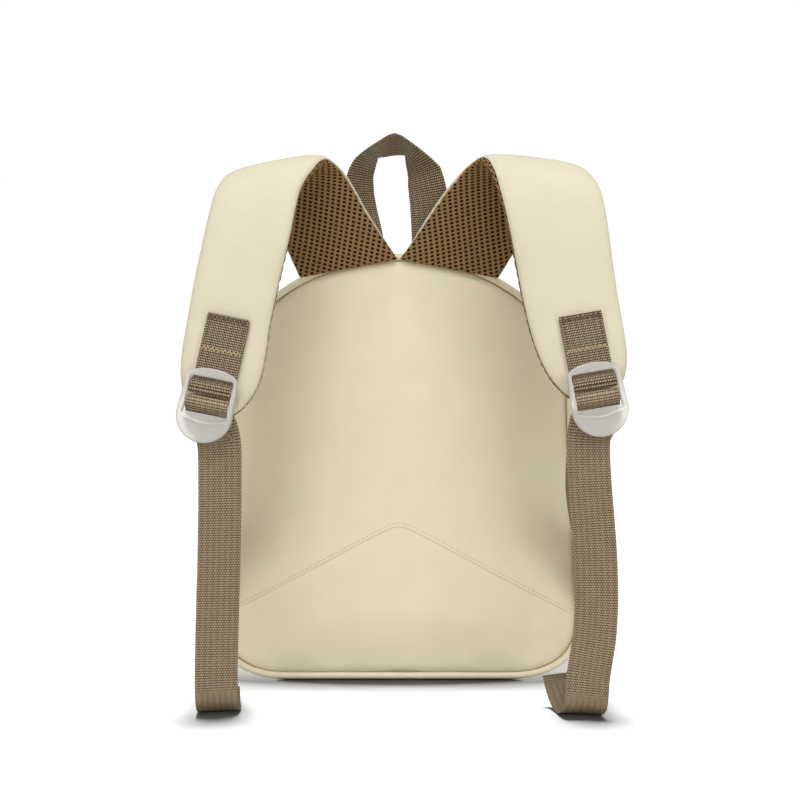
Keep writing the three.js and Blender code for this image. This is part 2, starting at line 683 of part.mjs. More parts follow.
// The bag's body
function bagBody() {
  const group = new THREE.Group();
  const seamEdge = SEAM.map(({ x, z }) => ({ x, z }));
  const back = solidOf(crownedPanel(seamEdge, 0, PANEL_WALL, -BACK_CROWN));
  for (const [name, above] of [["back_panel_upper", true], ["back_panel_lower", false]]) {
    const half = back.intersect(solidOf(chevronBlock(above)));
    group.add(piece(name, geometryOf(half), CREAM));
  }
  const frontEdge = SEAM.map((_, i) => gussetPoint(i, 1, 0));
  const front = crownedPanel(frontEdge, GUSSET_END + GAP, GUSSET_END + GAP + PANEL_WALL, FRONT_CROWN);
  group.add(piece("front_panel", front, CREAM));
  group.add(piece("back_piping", pipingGeometry(), CREAM));
  group.add(piece("gusset", gussetGeometry(), CREAM));
  group.add(piece("zip", zipGeometry(), CREAM));
  group.add(piece("grab_handle", handleGeometry(), TAUPE));
  return group;
}

// One shoulder strap with its webbing and buckle
function shoulderStrap(side) {
  const group = new THREE.Group();
  const surface = new StrapSurface(side);
  const frame = buckleFrame(side, surface);
  group.add(piece(`strap_cover_${side}`, strapLayer(surface, COVER_THICK), CREAM));
  group.add(piece(`strap_mesh_${side}`, strapLayer(surface, -MESH_THICK), BROWN_MESH));
  group.add(piece(`strap_webbing_${side}`, strapWebbing(BUCKLE_PLACES[side].sewn, frame), TAUPE));
  group.add(piece(`adjuster_webbing_${side}`, adjusterWebbing(side, frame), TAUPE));
  const buckle = piece(`buckle_${side}`, buckleGeometry(), FROSTED);
  buckle.position.setFromMatrixPosition(frame);
  buckle.quaternion.setFromRotationMatrix(frame);
  group.add(buckle);
  return group;
}

const standing = new THREE.Group();
standing.add(bagBody());
for (const side of ["left", "right"]) {
  standing.add(shoulderStrap(side));
}
standing.position.y = -BAG_DEPTH / 2;
const backpack = new THREE.Group();
backpack.add(standing);

export default backpack;
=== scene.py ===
"""Toddler backpack standing on its base, seen from the wearer's side.

Sizes are millimetres in the shared frame: +Z is up, the wearer's side faces -Y, and the origin is
the middle of the flat base. Meshes are stored in metres.
"""

import json
import logging
import math
from contextlib import contextmanager
from dataclasses import dataclass, field, replace
from enum import Enum
from typing import Any, Iterator, Sequence

import bmesh
import bpy
import numpy as np
from mathutils import Matrix, Vector, noise

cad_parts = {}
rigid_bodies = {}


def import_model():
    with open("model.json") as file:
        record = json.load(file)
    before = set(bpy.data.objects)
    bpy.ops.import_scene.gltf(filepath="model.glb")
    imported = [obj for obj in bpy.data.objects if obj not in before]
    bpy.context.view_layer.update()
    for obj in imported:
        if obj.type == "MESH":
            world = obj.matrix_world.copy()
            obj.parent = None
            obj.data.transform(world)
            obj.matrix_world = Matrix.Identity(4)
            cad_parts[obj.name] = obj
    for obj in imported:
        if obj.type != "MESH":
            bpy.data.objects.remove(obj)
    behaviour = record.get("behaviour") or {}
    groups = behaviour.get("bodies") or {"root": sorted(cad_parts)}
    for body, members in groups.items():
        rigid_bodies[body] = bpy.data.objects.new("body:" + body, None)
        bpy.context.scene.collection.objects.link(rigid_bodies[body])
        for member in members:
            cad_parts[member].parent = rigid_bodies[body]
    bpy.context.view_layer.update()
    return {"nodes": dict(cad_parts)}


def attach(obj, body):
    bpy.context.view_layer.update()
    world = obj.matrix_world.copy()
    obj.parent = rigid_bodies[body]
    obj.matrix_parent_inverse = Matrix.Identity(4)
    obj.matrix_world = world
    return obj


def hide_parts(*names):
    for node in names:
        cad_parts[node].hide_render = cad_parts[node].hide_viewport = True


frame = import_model()

LOG = logging.getLogger("backpack")
MM = 0.001
BODY = "root"
BACK_SEAM_Y = -50.0
# Height of the body's middle
BODY_MIDDLE = 128.0
# Points of a panel's outline, and what is taken for the same place
OUTLINE_POINTS = 704
TOUCH = 1e-3

Array = np.ndarray
Lines = Sequence[Array]
Piece = bpy.types.Object
Tree = bpy.types.NodeTree
Socket = bpy.types.NodeSocket


class Slot(Enum):
    """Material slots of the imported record."""

    CLOTH = "cream_cloth"
    CANVAS = "cream_canvas"
    ZIP = "cream_zip"
    MESH = "brown_mesh"
    WEBBING = "taupe_webbing"
    PLASTIC = "frosted_plastic"


class Side(Enum):
    """The two shoulder straps, as the wearer's side shows them."""

    LEFT = "left"
    RIGHT = "right"

    def pick(self, pair: Sequence[Any]) -> Any:
        """The left or the right one of a pair."""
        return pair[0 if self is Side.LEFT else 1]


# Nodes and colours


def node(tree: Tree, kind: str, settings: dict[str, Any] | None = None,
         inputs: dict[Any, Any] | None = None) -> bpy.types.Node:
    """Adds a node with its settings, input values and links.

    Args:
        tree: The node tree that gets the node.
        kind: The node's type name.
        settings: Properties of the node by name.
        inputs: Values, or sockets to link from, by input name or number.

    Returns:
        The new node.
    """
    made = tree.nodes.new(kind)
    for name, value in (settings or {}).items():
        setattr(made, name, value)
    for name, value in (inputs or {}).items():
        if isinstance(value, Socket):
            tree.links.new(value, made.inputs[name])
        else:
            made.inputs[name].default_value = value
    return made


def reckon(tree: Tree, operation: str, *values: Any) -> Socket:
    """Adds a Math node.

    Args:
        tree: The node tree.
        operation: What it works out.
        values: Its values, or sockets to link from.

    Returns:
        Its result.
    """
    return node(tree, "ShaderNodeMath", {"operation": operation}, dict(enumerate(values))).outputs[0]


def blend(tree: Tree, share: Any, low: Any, high: Any, kind: str = "MIX") -> Socket:
    """Adds a node that mixes two colours.

    Args:
        tree: The node tree.
        share: How much of the second colour shows.
        low: The first colour.
        high: The second colour.
        kind: How they mix.

    Returns:
        The mixed colour.
    """
    return node(tree, "ShaderNodeMix", {"data_type": "RGBA", "blend_type": kind}, {
        0: share, 6: low, 7: high}).outputs[2]


def remap(tree: Tree, value: Socket, low: float = 0.0, high: float = 1.0,
          start: float = 0.0, end: float = 1.0) -> Socket:
    """Adds a node that brings a value from one range to another.

    Args:
        tree: The node tree.
        value: The value.
        low: The result at the start of the first range.
        high: The result at its end.
        start: The first range's start.
        end: The first range's end.

    Returns:
        The result.
    """
    return node(tree, "ShaderNodeMapRange", None, {
        "Value": value, 1: start, 2: end, 3: low, 4: high}).outputs["Result"]


def patches(tree: Tree, place: bpy.types.Node, size: float, detail: float = 2.0) -> Socket:
    """Adds noise on the object's own coordinates.

    Args:
        tree: The node tree.
        place: Its node of coordinates.
        size: Size of a patch in millimetres.
        detail: How many finer layers it has.

    Returns:
        The noise's value.
    """
    return node(tree, "ShaderNodeTexNoise", None, {
        "Vector": place.outputs["Object"], "Scale": 1 / (size * MM), "Detail": detail}).outputs["Fac"]


def coat(tree: Tree, colour: Socket, height: Socket,
         bump: tuple[float, float], inputs: dict[str, float]) -> None:
    """Adds the surface with its relief, and the material's output.

    Args:
        tree: The material's tree.
        colour: The surface's colour.
        height: The relief's height.
        bump: The relief's strength and its depth in millimetres.
        inputs: Other values of the surface by name.
    """
    relief = node(tree, "ShaderNodeBump", None, {"Height": height, "Strength": bump[0], "Distance": bump[1] * MM})
    surface = node(tree, "ShaderNodeBsdfPrincipled", None, {
        "Base Color": colour, "Normal": relief.outputs["Normal"], **inputs})
    node(tree, "ShaderNodeOutputMaterial", None, {"Surface": surface.outputs["BSDF"]})


def linear(colour: str) -> tuple[float, float, float, float]:
    """Turns an sRGB hex colour to linear values.

    Args:
        colour: Six hex digits.

    Returns:
        Red, green, blue and an alpha of 1.
    """
    shares = [int(colour[i:i + 2], 16) / 255 for i in (0, 2, 4)]
    red, green, blue = (s / 12.92 if s <= 0.04045 else ((s + 0.055) / 1.055) ** 2.4 for s in shares)
    return red, green, blue, 1.0


def new_material(name: str) -> tuple[bpy.types.Material, Tree]:
    """Makes a material with an empty node tree.

    Args:
        name: The material's name.

    Returns:
        The material and its tree.
    """
    material = bpy.data.materials.new(name)
    material.use_nodes = True
    material.node_tree.nodes.clear()
    return material, material.node_tree


@dataclass(frozen=True)
class WovenFinish:
    """Cloth or webbing woven from round yarns, which gives rows of small raised grains.

    The grain's sizes are millimetres on the flat cloth, which the UV map carries. The dip says how
    deep the gaps between the grains of a row are, as a share of the gaps between the rows, and
    what lies below the sunk height has the colour of the gaps. Webbing has columns along it: the
    gaps are deeper in their middle, and where the attribute "turned" is 1, the other face shows,
    which has soft ribs in their place. From the full height up, the yarn has its own colour. The
    clouds are the noise values between which the tone changes.
    """

    name: str
    yarn: str
    yarn_turned: str
    gap: str
    grain_wide: float
    grain_long: float
    dip: float
    relief: float
    roughness: float
    sheen: float
    mottle: float = 0.05
    slub: float = 18.0
    sunk: float = 0.0
    columns: float = 0.0
    between: float = 0.8
    rib: float = 0.12
    rib_depth: float = 0.44
    full: float = 0.8
    clouds: tuple = (0.3, 0.7)

    def grain_height(self, tree: Tree, place: bpy.types.Node) -> Socket:
        """Draws the grains, each row half a grain on from the last.

        Args:
            tree: The material's tree.
            place: Its node of coordinates.

        Returns:
            The height of the yarn, 0 in the gaps and 1 on the grains.
        """
        flat = node(tree, "ShaderNodeSeparateXYZ", None, {0: place.outputs["UV"]})
        over, along = flat.outputs[:2]
        rise = reckon(tree, "DIVIDE", along, self.grain_long * MM)
        turn = reckon(tree, "MULTIPLY", rise, math.pi)
        ridge = reckon(tree, "ABSOLUTE", reckon(tree, "SINE", turn))
        shift = reckon(tree, "MULTIPLY", reckon(tree, "FLOOR", rise), math.pi / 2)
        turn = reckon(tree, "MULTIPLY_ADD", over, math.pi / (self.grain_wide * MM), shift)
        grain = reckon(tree, "ABSOLUTE", reckon(tree, "SINE", turn))
        height = reckon(tree, "MULTIPLY", ridge, remap(tree, grain, 1 - self.dip, 1.0))
        return self.column_height(tree, over, height) if self.columns else height

    def column_height(self, tree: Tree, over: Socket,
                      height: Socket) -> Socket:
        """Parts the grains into columns, and turns them to ribs where the other face shows.

        Args:
            tree: The material's tree.
            over: The place across the webbing.
            height: The height of the grains.

        Returns:
            The height of both faces.
        """
        turn = reckon(tree, "MULTIPLY", over, math.pi / (self.columns * MM))
        middle = reckon(tree, "ABSOLUTE", reckon(tree, "COSINE", turn))
        gap = reckon(tree, "SUBTRACT", 1.0, height)
        grains = reckon(tree, "MULTIPLY", gap, remap(tree, middle, self.between, 1.0))
        ribs = remap(tree, middle, self.rib_depth + self.rib, self.rib_depth)
        other = node(tree, "ShaderNodeAttribute", {"attribute_name": "turned"})
        faces = node(tree, "ShaderNodeMix", None, {0: other.outputs["Fac"], 2: grains, 3: ribs})
        return reckon(tree, "SUBTRACT", 1.0, faces.outputs[0])

    def make(self) -> bpy.types.Material:
        """Builds the material from grains, gaps and a slow change of tone.

        Returns:
            The material.
        """
        material, tree = new_material(self.name)
        place = node(tree, "ShaderNodeTexCoord")
        height = self.grain_height(tree, place)
        yarn = blend(tree, patches(tree, place, self.grain_long, 1.0), linear(self.yarn), linear(self.yarn_turned))
        grains = blend(tree, remap(tree, height, start=self.sunk, end=self.full), linear(self.gap), yarn)
        tone = remap(tree, patches(tree, place, self.slub, 3.0), 1 - self.mottle, 1 + self.mottle, *self.clouds)
        coat(tree, blend(tree, 1.0, grains, tone, "MULTIPLY"), height, (1.0, self.relief), {
            "Roughness": self.roughness, "IOR": 1.5, "Specular IOR Level": 0.3,
            "Sheen Weight": self.sheen, "Sheen Roughness": 0.5})
        return material


@dataclass(frozen=True)
class YarnFinish:
    """Loose yarn without a weave of its own: knitted mesh, foam behind it and sewing thread."""

    name: str
    light: str
    dark: str
    patch: float
    roughness: float

    def make(self) -> bpy.types.Material:
        """Builds the material from two tones of the same yarn.

        Returns:
            The material.
        """
        material, tree = new_material(self.name)
        place = node(tree, "ShaderNodeTexCoord")
        fibres = patches(tree, place, self.patch, 4.0)
        coat(tree, blend(tree, fibres, linear(self.light), linear(self.dark)), fibres, (0.5, 0.1), {
            "Roughness": self.roughness, "IOR": 1.5, "Specular IOR Level": 0.25})
        return material


@dataclass(frozen=True)
class FrostedFinish:
    """Moulded polypropylene with a spark-eroded surface: milky, half see-through, softly glossy."""

    name: str
    tint: str
    transmission: float
    roughness: float
    grit: float
    # Size of the milky patches, in grits, and their darkest tone
    patch: float = 20.0
    dullest: float = 0.94

    def make(self) -> bpy.types.Material:
        """Builds the material from a milky tint and fine grit.

        Returns:
            The material.
        """
        material, tree = new_material(self.name)
        place = node(tree, "ShaderNodeTexCoord")
        tone = remap(tree, patches(tree, place, self.patch * self.grit), self.dullest, 1.0)
        colour = blend(tree, 1.0, linear(self.tint), tone, "MULTIPLY")
        coat(tree, colour, patches(tree, place, self.grit), (0.25, 0.1), {
            "Roughness": self.roughness, "IOR": 1.49, "Transmission Weight": self.transmission})
        return material


@dataclass(frozen=True)
class PaperFinish:
    """Matt paper that throws less light on the object than it shows, as a small sheet does."""

    name: str
    seen: str
    thrown: str

    def make(self) -> bpy.types.Material:
        """Builds the material from its two tones.

        Returns:
            The material.
        """
        material, tree = new_material(self.name)
        ray = node(tree, "ShaderNodeLightPath")
        tone = blend(tree, ray.outputs["Is Diffuse Ray"], linear(self.seen), linear(self.thrown))
        paper = node(tree, "ShaderNodeBsdfDiffuse", None, {"Color": tone})
        node(tree, "ShaderNodeOutputMaterial", None, {"Surface": paper.outputs["BSDF"]})
        return material


# Polyester cloth in a plain weave, dyed cream: matt, with faint rows across, drawn four times as coarse
CREAM_CLOTH = WovenFinish("cream_polyester_cloth", "e1d7b8", "dfd5b6", "dcd2b3",
                          1.75, 1.75, 0.0, 0.008, 0.8, 0.1, 0.015)
# Heavier polyester canvas of the straps: the same dye on a rounder yarn, so its grain shows
CREAM_CANVAS = WovenFinish("cream_polyester_canvas", "e0d8c0", "dcd3ba", "c9bfa3",
                           1.6, 0.8, 0.95, 0.04, 0.8, 0.1, 0.015)
# Polypropylene webbing: shiny ribs across it, parted into grains, with dark gaps between the ribs
TAUPE_WEBBING = WovenFinish("taupe_polypropylene_webbing", "b3a081", "998466", "2a1c0b",
                            1.5, 1.42, 0.75, 0.2, 0.6, 0.05, 0.06, 6.0, 0.12, 3.45)
# The same webbing with more of its dark gap colour, for the short pieces and the handle: a darker copy that paints
# the shade that falls on them
SHADE_PAINTED_WEBBING = replace(TAUPE_WEBBING, name="shade_painted_taupe_polypropylene_webbing", sunk=0.3)
# Zip tape: tightly woven polyester, its herringbone too fine to show, drawn at twice its size
CREAM_ZIP_TAPE = WovenFinish("cream_zip_tape", "d8ceb2", "d2c8ab", "c2b797",
                             1.0, 0.8, 0.4, 0.05, 0.75, 0.05)
# Warp-knitted polyester spacer mesh, dark tan, and the layer behind it, whose near-black tone paints the shade seen
# deep in the mesh's holes
BROWN_MESH = YarnFinish("brown_knitted_mesh", "9c7b50", "785a38", 0.9, 0.75)
MESH_HOLE_SHADE_BACKING = YarnFinish("brown_mesh_backing", "2d1a07", "211204", 1.5, 0.95)
# Spun polyester sewing threads
# The cream thread is darker than the cloth it is sewn into: painted shade of its needle holes and the dips it sits in
SHADE_DARKENED_CREAM_THREAD = YarnFinish("shade_darkened_cream_sewing_thread", "c9bd9d", "b9ac89", 0.5, 0.7)
TAUPE_THREAD = YarnFinish("taupe_sewing_thread", "5c4b36", "4a3b28", 0.5, 0.7)
PALE_THREAD = YarnFinish("pale_taupe_sewing_thread", "c9b692", "b5a17e", 0.5, 0.7)
# Nylon coil and painted slider of the zip
CREAM_COIL = YarnFinish("cream_nylon_coil", "ddd4ba", "d0c6a9", 0.6, 0.4)
FROSTED_PLASTIC = FrostedFinish("frosted_polypropylene", "f3f1eb", 0.66, 0.35, 0.5)
# Matt background paper, bright enough in its own light to look white
PALE_PAPER = PaperFinish("pale_background_paper", "767676", "696764")


# Meshes


def make_piece(name: str, points: Array, faces: Sequence[Sequence[int]], flat: Array | None = None,
               edges: Sequence[Sequence[int]] = (), sharp: float = 50.0) -> Piece:
    """Makes an object from points and faces.

    Args:
        name: The piece's name.
        points: Points in millimetres.
        faces: Point numbers of each face.
        flat: Where each point lies on the flat cloth, in millimetres.
        edges: Loose edges.
        sharp: Faces that meet at more than this many degrees stay crisp.

    Returns:
        The object, at the origin, with smooth faces.
    """
    mesh = bpy.data.meshes.new(name)
    mesh.from_pydata((np.asarray(points, float).reshape(-1, 3) * MM).tolist(), list(edges), list(faces))
    if flat is not None:
        corner = np.zeros(len(mesh.loops), np.int32)
        mesh.loops.foreach_get("vertex_index", corner)
        layer = mesh.uv_layers.new(name="UVMap")
        layer.data.foreach_set("uv", (flat.reshape(-1, 2)[corner] * MM).astype(np.float32).ravel())
    mesh.shade_smooth()
    mesh.set_sharp_from_angle(angle=math.radians(sharp))
    piece = bpy.data.objects.new(name, mesh)
    bpy.context.scene.collection.objects.link(piece)
    return piece


def grid_faces(rows: int, columns: int, round_columns: bool = False, round_rows: bool = False) -> list:
    """Faces of a grid of points that are counted row by row.

    Args:
        rows: Number of rows.
        columns: Number of points in a row.
        round_columns: Whether each row's last point joins its first.
        round_rows: Whether the last row joins the first.

    Returns:
        Four point numbers for each face.
    """
    numbers = np.arange(rows * columns).reshape(rows, columns)
    if round_columns:
        numbers = np.hstack([numbers, numbers[:, :1]])
    if round_rows:
        numbers = np.vstack([numbers, numbers[:1]])
    corners = [numbers[:-1, :-1], numbers[:-1, 1:], numbers[1:, 1:], numbers[1:, :-1]]
    return np.stack(corners, -1).reshape(-1, 4).tolist()


def loft(name: str, rings: Array, flat: Array) -> Piece:
    """Makes a closed skin over a row of rings, with capped ends.

    Args:
        name: The piece's name.
        rings: Points as rows of rings, in millimetres.
        flat: The same rows on the flat cloth.

    Returns:
        The object.
    """
    rows, count, _ = rings.shape
    hubs = np.stack([rings[0].mean(0), rings[-1].mean(0)])
    points = np.vstack([rings.reshape(-1, 3), hubs])
    layout = np.vstack([flat.reshape(-1, 2), flat[0].mean(0), flat[-1].mean(0)])
    faces = grid_faces(rows, count, round_columns=True)
    last = (rows - 1) * count
    for i in range(count):
        j = (i + 1) % count
        faces.append([rows * count, j, i])
        faces.append([rows * count + 1, last + i, last + j])
    piece = make_piece(name, points, faces, layout)
    turn_outwards(piece)
    return piece


@contextmanager
def opened(piece: Piece) -> Iterator[bmesh.types.BMesh]:
    """Opens a piece's mesh for edits and writes it back.

    Args:
        piece: The piece.

    Returns:
        The mesh that is edited.
    """
    work = bmesh.new()
    work.from_mesh(piece.data)
    yield work
    work.to_mesh(piece.data)
    work.free()


def turn_outwards(piece: Piece) -> None:
    """Turns the faces of a closed mesh outwards."""
    with opened(piece) as work:
        bmesh.ops.recalc_face_normals(work, faces=work.faces)


def face_towards(piece: Piece, direction: Sequence[float]) -> None:
    """Flips an open sheet unless its faces look, on the whole, in a direction.

    Args:
        piece: The sheet.
        direction: The direction.
    """
    total = sum((face.normal * face.area for face in piece.data.polygons), Vector())
    if total.dot(Vector(direction)) < 0:
        piece.data.flip_normals()


def read_points(source: Piece) -> Array:
    """Points of an object's mesh in millimetres.

    Args:
        source: The object, as it is or as its modifiers show it.

    Returns:
        One row for each point.
    """
    points = np.zeros(len(source.data.vertices) * 3)
    source.data.vertices.foreach_get("co", points)
    return points.reshape(-1, 3) / MM


def write_points(piece: Piece, points: Array) -> None:
    """Sets the points of an object's mesh from millimetres."""
    piece.data.vertices.foreach_set("co", (points * MM).astype(np.float32).ravel())
    piece.data.update()


def dress(piece: Piece, material: bpy.types.Material, slot: Slot, *nodes: str) -> Piece:
    """Gives a finished piece its material, its body and the CAD nodes that it stands for.

    Args:
        piece: The piece.
        material: Its finish.
        slot: The record's slot; not used.
        nodes: CAD nodes that it replaces.

    Returns:
        The piece.
    """
    piece.data.materials.clear()
    piece.data.materials.append(material)
    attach(piece, BODY)
    if nodes:
        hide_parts(*nodes)
    LOG.info("%s: %d faces", piece.name, len(piece.data.polygons))
    return piece


def add_wall(piece: Piece, thickness: float) -> None:
    """Gives an open sheet a wall behind its outer face, in millimetres.

    Args:
        piece: The sheet.
        thickness: The wall's thickness in millimetres.
    """
    wall = piece.modifiers.new("Wall", "SOLIDIFY")
    wall.thickness = thickness * MM
    wall.offset = -1.0


def smooth_line(points: Array, samples: Array) -> Array:
    """A smooth curve through rows of points, with tangents weighed by the distance between rows.

    Args:
        points: Rows of one point each.
        samples: Row numbers with fractions.

    Returns:
        One point for each sample.
    """
    last = len(points) - 1
    gaps = np.linalg.norm(np.diff(points, axis=0), axis=1).clip(1e-6)[:, None]
    slopes = np.diff(points, axis=0) / gaps
    inner = (slopes[:-1] * gaps[1:] + slopes[1:] * gaps[:-1]) / (gaps[1:] + gaps[:-1])
    tangents = np.vstack([slopes[:1], inner, slopes[-1:]])
    below = np.clip(np.floor(samples).astype(int), 0, last - 1)
    t = (samples - below)[:, None]
    span = gaps[below]
    return ((2 * t**3 - 3 * t**2 + 1) * points[below] + (3 * t**2 - 2 * t**3) * points[below + 1]
            + (t**3 - 2 * t**2 + t) * span * tangents[below] + (t**3 - t**2) * span * tangents[below + 1])


def ease(share: Array) -> Array:
    """Goes from 0 to 1 with soft ends, where a share does so evenly."""
    return share**2 * (3 - 2 * share)


def along_run(at: Array, run: Sequence[float], points: Array) -> Array:
    """Finds places on a line, straight between its own points.

    Args:
        at: Distances along the line.
        run: The distance of each of its points.
        points: Its points.

    Returns:
        One point for each distance.
    """
    return np.stack([np.interp(at, run, column) for column in points.T], -1)


def unit(vectors: Array) -> Array:
    """Vectors of length 1 in the same directions."""
    return vectors / np.linalg.norm(vectors, axis=-1, keepdims=True).clip(1e-12)


def run_lengths(points: Array) -> Array:
    """Distance along a line of points, from its start to each point."""
    return np.concatenate([[0.0], np.cumsum(np.linalg.norm(np.diff(points, axis=0), axis=1))])


def cad_rings(name: str, count: int) -> Array:
    """Reads the rings of a lofted CAD node, in order from one capped end to the other.

    Args:
        name: The node's name.
        count: Points in a ring.

    Returns:
        Rings of points in millimetres, each point beside its match in the next ring.
    """
    work = bmesh.new()
    work.from_mesh(frame["nodes"][name].data)
    bmesh.ops.remove_doubles(work, verts=work.verts, dist=TOUCH * MM)

    def middle_of(vert: bmesh.types.BMVert) -> bool:
        """Whether a point is the hub of a cap."""
        near = [edge.other_vert(vert).co for edge in vert.link_edges]
        return len(near) == count and (sum(near, Vector()) / count - vert.co).length < TOUCH * MM

    hub = next(vert for vert in work.verts if middle_of(vert))
    seen = {hub}
    layer = [edge.other_vert(hub) for edge in hub.link_edges]
    rings: list[Array] = []
    while len(layer) == count:
        seen.update(layer)
        members = set(layer)
        walk = [layer[0]]
        while len(walk) < count:
            near = [edge.other_vert(walk[-1]) for edge in walk[-1].link_edges]
            walk.append(next(vert for vert in near if vert in members and vert not in walk))
        ring = np.array([vert.co for vert in walk]) / MM
        if rings:
            turned = [np.roll(way, k, axis=0) for way in (ring, ring[::-1]) for k in range(count)]
            ring = min(turned, key=lambda way: np.linalg.norm(way - rings[-1], axis=1).sum())
        rings.append(ring)
        layer = list({other for vert in walk for edge in vert.link_edges
                      if (other := edge.other_vert(vert)) not in seen})
    work.free()
    return np.array(rings)


# Trees of nodes for what repeats


def new_tree(name: str, sizes: dict[str, str]) -> tuple[Tree, bpy.types.Node, bpy.types.Node]:
    """Makes a geometry tree with named inputs.

    Args:
        name: The tree's name.
        sizes: Socket type of each input by name.

    Returns:
        The tree, its input node and its output node.
    """
    tree = bpy.data.node_groups.new(name, "GeometryNodeTree")
    tree.interface.new_socket("Geometry", in_out="OUTPUT", socket_type="NodeSocketGeometry")
    tree.interface.new_socket("Geometry", in_out="INPUT", socket_type="NodeSocketGeometry")
    for size, kind in sizes.items():
        tree.interface.new_socket(size, in_out="INPUT", socket_type=kind)
    return tree, tree.nodes.new("NodeGroupInput"), tree.nodes.new("NodeGroupOutput")


def bead_tree() -> Tree:
    """Rounded grains along lines of edges: stitches, and the turns of a zip's coil.

    Returns:
        The tree.
    """
    tree, given, result = new_tree("beads_on_lines", {
        "Pitch": "NodeSocketFloat", "Size": "NodeSocketVector", "Material": "NodeSocketMaterial"})
    line = node(tree, "GeometryNodeMeshToCurve", None, {"Mesh": given.outputs["Geometry"]})
    places = node(tree, "GeometryNodeCurveToPoints", {"mode": "LENGTH"}, {
        "Curve": line.outputs["Curve"], "Length": given.outputs["Pitch"]})
    bead = node(tree, "GeometryNodeMeshUVSphere", None, {"Segments": 6, "Rings": 5, "Radius": 0.5})
    row = node(tree, "GeometryNodeInstanceOnPoints", None, {
        "Points": places.outputs["Points"], "Instance": bead.outputs["Mesh"],
        "Rotation": places.outputs["Rotation"], "Scale": given.outputs["Size"]})
    real = node(tree, "GeometryNodeRealizeInstances", None, {"Geometry": row.outputs["Instances"]})
    soft = node(tree, "GeometryNodeSetShadeSmooth", None, {"Geometry": real.outputs["Geometry"]})
    done = node(tree, "GeometryNodeSetMaterial", None, {
        "Geometry": soft.outputs["Geometry"], "Material": given.outputs["Material"]})
    tree.links.new(done.outputs["Geometry"], result.inputs["Geometry"])
    return tree


def net_tree() -> Tree:
    """A knitted net: a flat cell is repeated over the cloth's layout and laid on its surface.

    Returns:
        The tree.
    """
    tree, given, result = new_tree("net_on_surface", {
        "Cell": "NodeSocketObject", "Columns": "NodeSocketInt", "Rows": "NodeSocketInt",
        "Wide": "NodeSocketFloat", "Long": "NodeSocketFloat", "Middle": "NodeSocketVector",
        "Material": "NodeSocketMaterial"})
    grid = node(tree, "GeometryNodeMeshGrid", None, {
        "Size X": given.outputs["Wide"], "Size Y": given.outputs["Long"],
        "Vertices X": given.outputs["Columns"], "Vertices Y": given.outputs["Rows"]})
    centred = node(tree, "GeometryNodeTransform", None, {
        "Geometry": grid.outputs["Mesh"], "Translation": given.outputs["Middle"]})
    cell = node(tree, "GeometryNodeObjectInfo", None, {"Object": given.outputs["Cell"]})
    cells = node(tree, "GeometryNodeInstanceOnPoints", None, {
        "Points": centred.outputs["Geometry"], "Instance": cell.outputs["Geometry"]})
    real = node(tree, "GeometryNodeRealizeInstances", None, {"Geometry": cells.outputs["Instances"]})
    joined = node(tree, "GeometryNodeMergeByDistance", None, {
        "Geometry": real.outputs["Geometry"], "Distance": 0.01 * MM})
    position = node(tree, "GeometryNodeInputPosition")
    normal = node(tree, "GeometryNodeInputNormal")
    layout = node(tree, "GeometryNodeInputNamedAttribute", {"data_type": "FLOAT_VECTOR"}, {"Name": "UVMap"})
    parts = node(tree, "ShaderNodeSeparateXYZ", None, {0: position.outputs["Position"]})
    flat = node(tree, "ShaderNodeCombineXYZ", None, {0: parts.outputs[0], 1: parts.outputs[1]})
    found = [node(tree, "GeometryNodeSampleUVSurface", {"data_type": "FLOAT_VECTOR"}, {
        "Mesh": given.outputs["Geometry"], "Value": value, "UV Map": layout.outputs["Attribute"],
        "Sample UV": flat.outputs["Vector"]}) for value in (position.outputs[0], normal.outputs[0])]
    missed = node(tree, "FunctionNodeBooleanMath", {"operation": "NOT"}, {0: found[0].outputs["Is Valid"]})
    trimmed = node(tree, "GeometryNodeDeleteGeometry", {"domain": "POINT"}, {
        "Geometry": joined.outputs["Geometry"], "Selection": missed.outputs[0]})
    lift = node(tree, "ShaderNodeVectorMath", {"operation": "SCALE"}, {
        0: found[1].outputs["Value"], "Scale": parts.outputs[2]})
    onto = node(tree, "ShaderNodeVectorMath", {"operation": "ADD"}, {
        0: found[0].outputs["Value"], 1: lift.outputs["Vector"]})
    laid = node(tree, "GeometryNodeSetPosition", None, {
        "Geometry": trimmed.outputs["Geometry"], "Position": onto.outputs["Vector"]})
    soft = node(tree, "GeometryNodeSetShadeSmooth", None, {"Geometry": laid.outputs["Geometry"]})
    done = node(tree, "GeometryNodeSetMaterial", None, {
        "Geometry": soft.outputs["Geometry"], "Material": given.outputs["Material"]})
    tree.links.new(done.outputs["Geometry"], result.inputs["Geometry"])
    return tree


def keep_result(piece: Piece, modifier: bpy.types.Modifier) -> None:
    """Makes what a modifier shows the piece's plain mesh, and takes the modifier off.

    Args:
        piece: The piece.
        modifier: The modifier.
    """
    shown = piece.evaluated_get(bpy.context.evaluated_depsgraph_get())
    mesh = bpy.data.meshes.new_from_object(shown)
    piece.modifiers.remove(modifier)
    piece.data = mesh


def grow(piece: Piece, tree: Tree, values: dict[str, Any]) -> None:
    """Runs a geometry tree on a piece and keeps the result as its plain mesh.

    Args:
        piece: The object whose mesh goes in.
        tree: The tree.
        values: Its inputs by name.
    """
    modifier = piece.modifiers.new(tree.name, "NODES")
    modifier.node_group = tree
    for item in tree.interface.items_tree:
        if item.in_out == "INPUT" and item.name in values:
            modifier[item.identifier] = values[item.name]
    keep_result(piece, modifier)


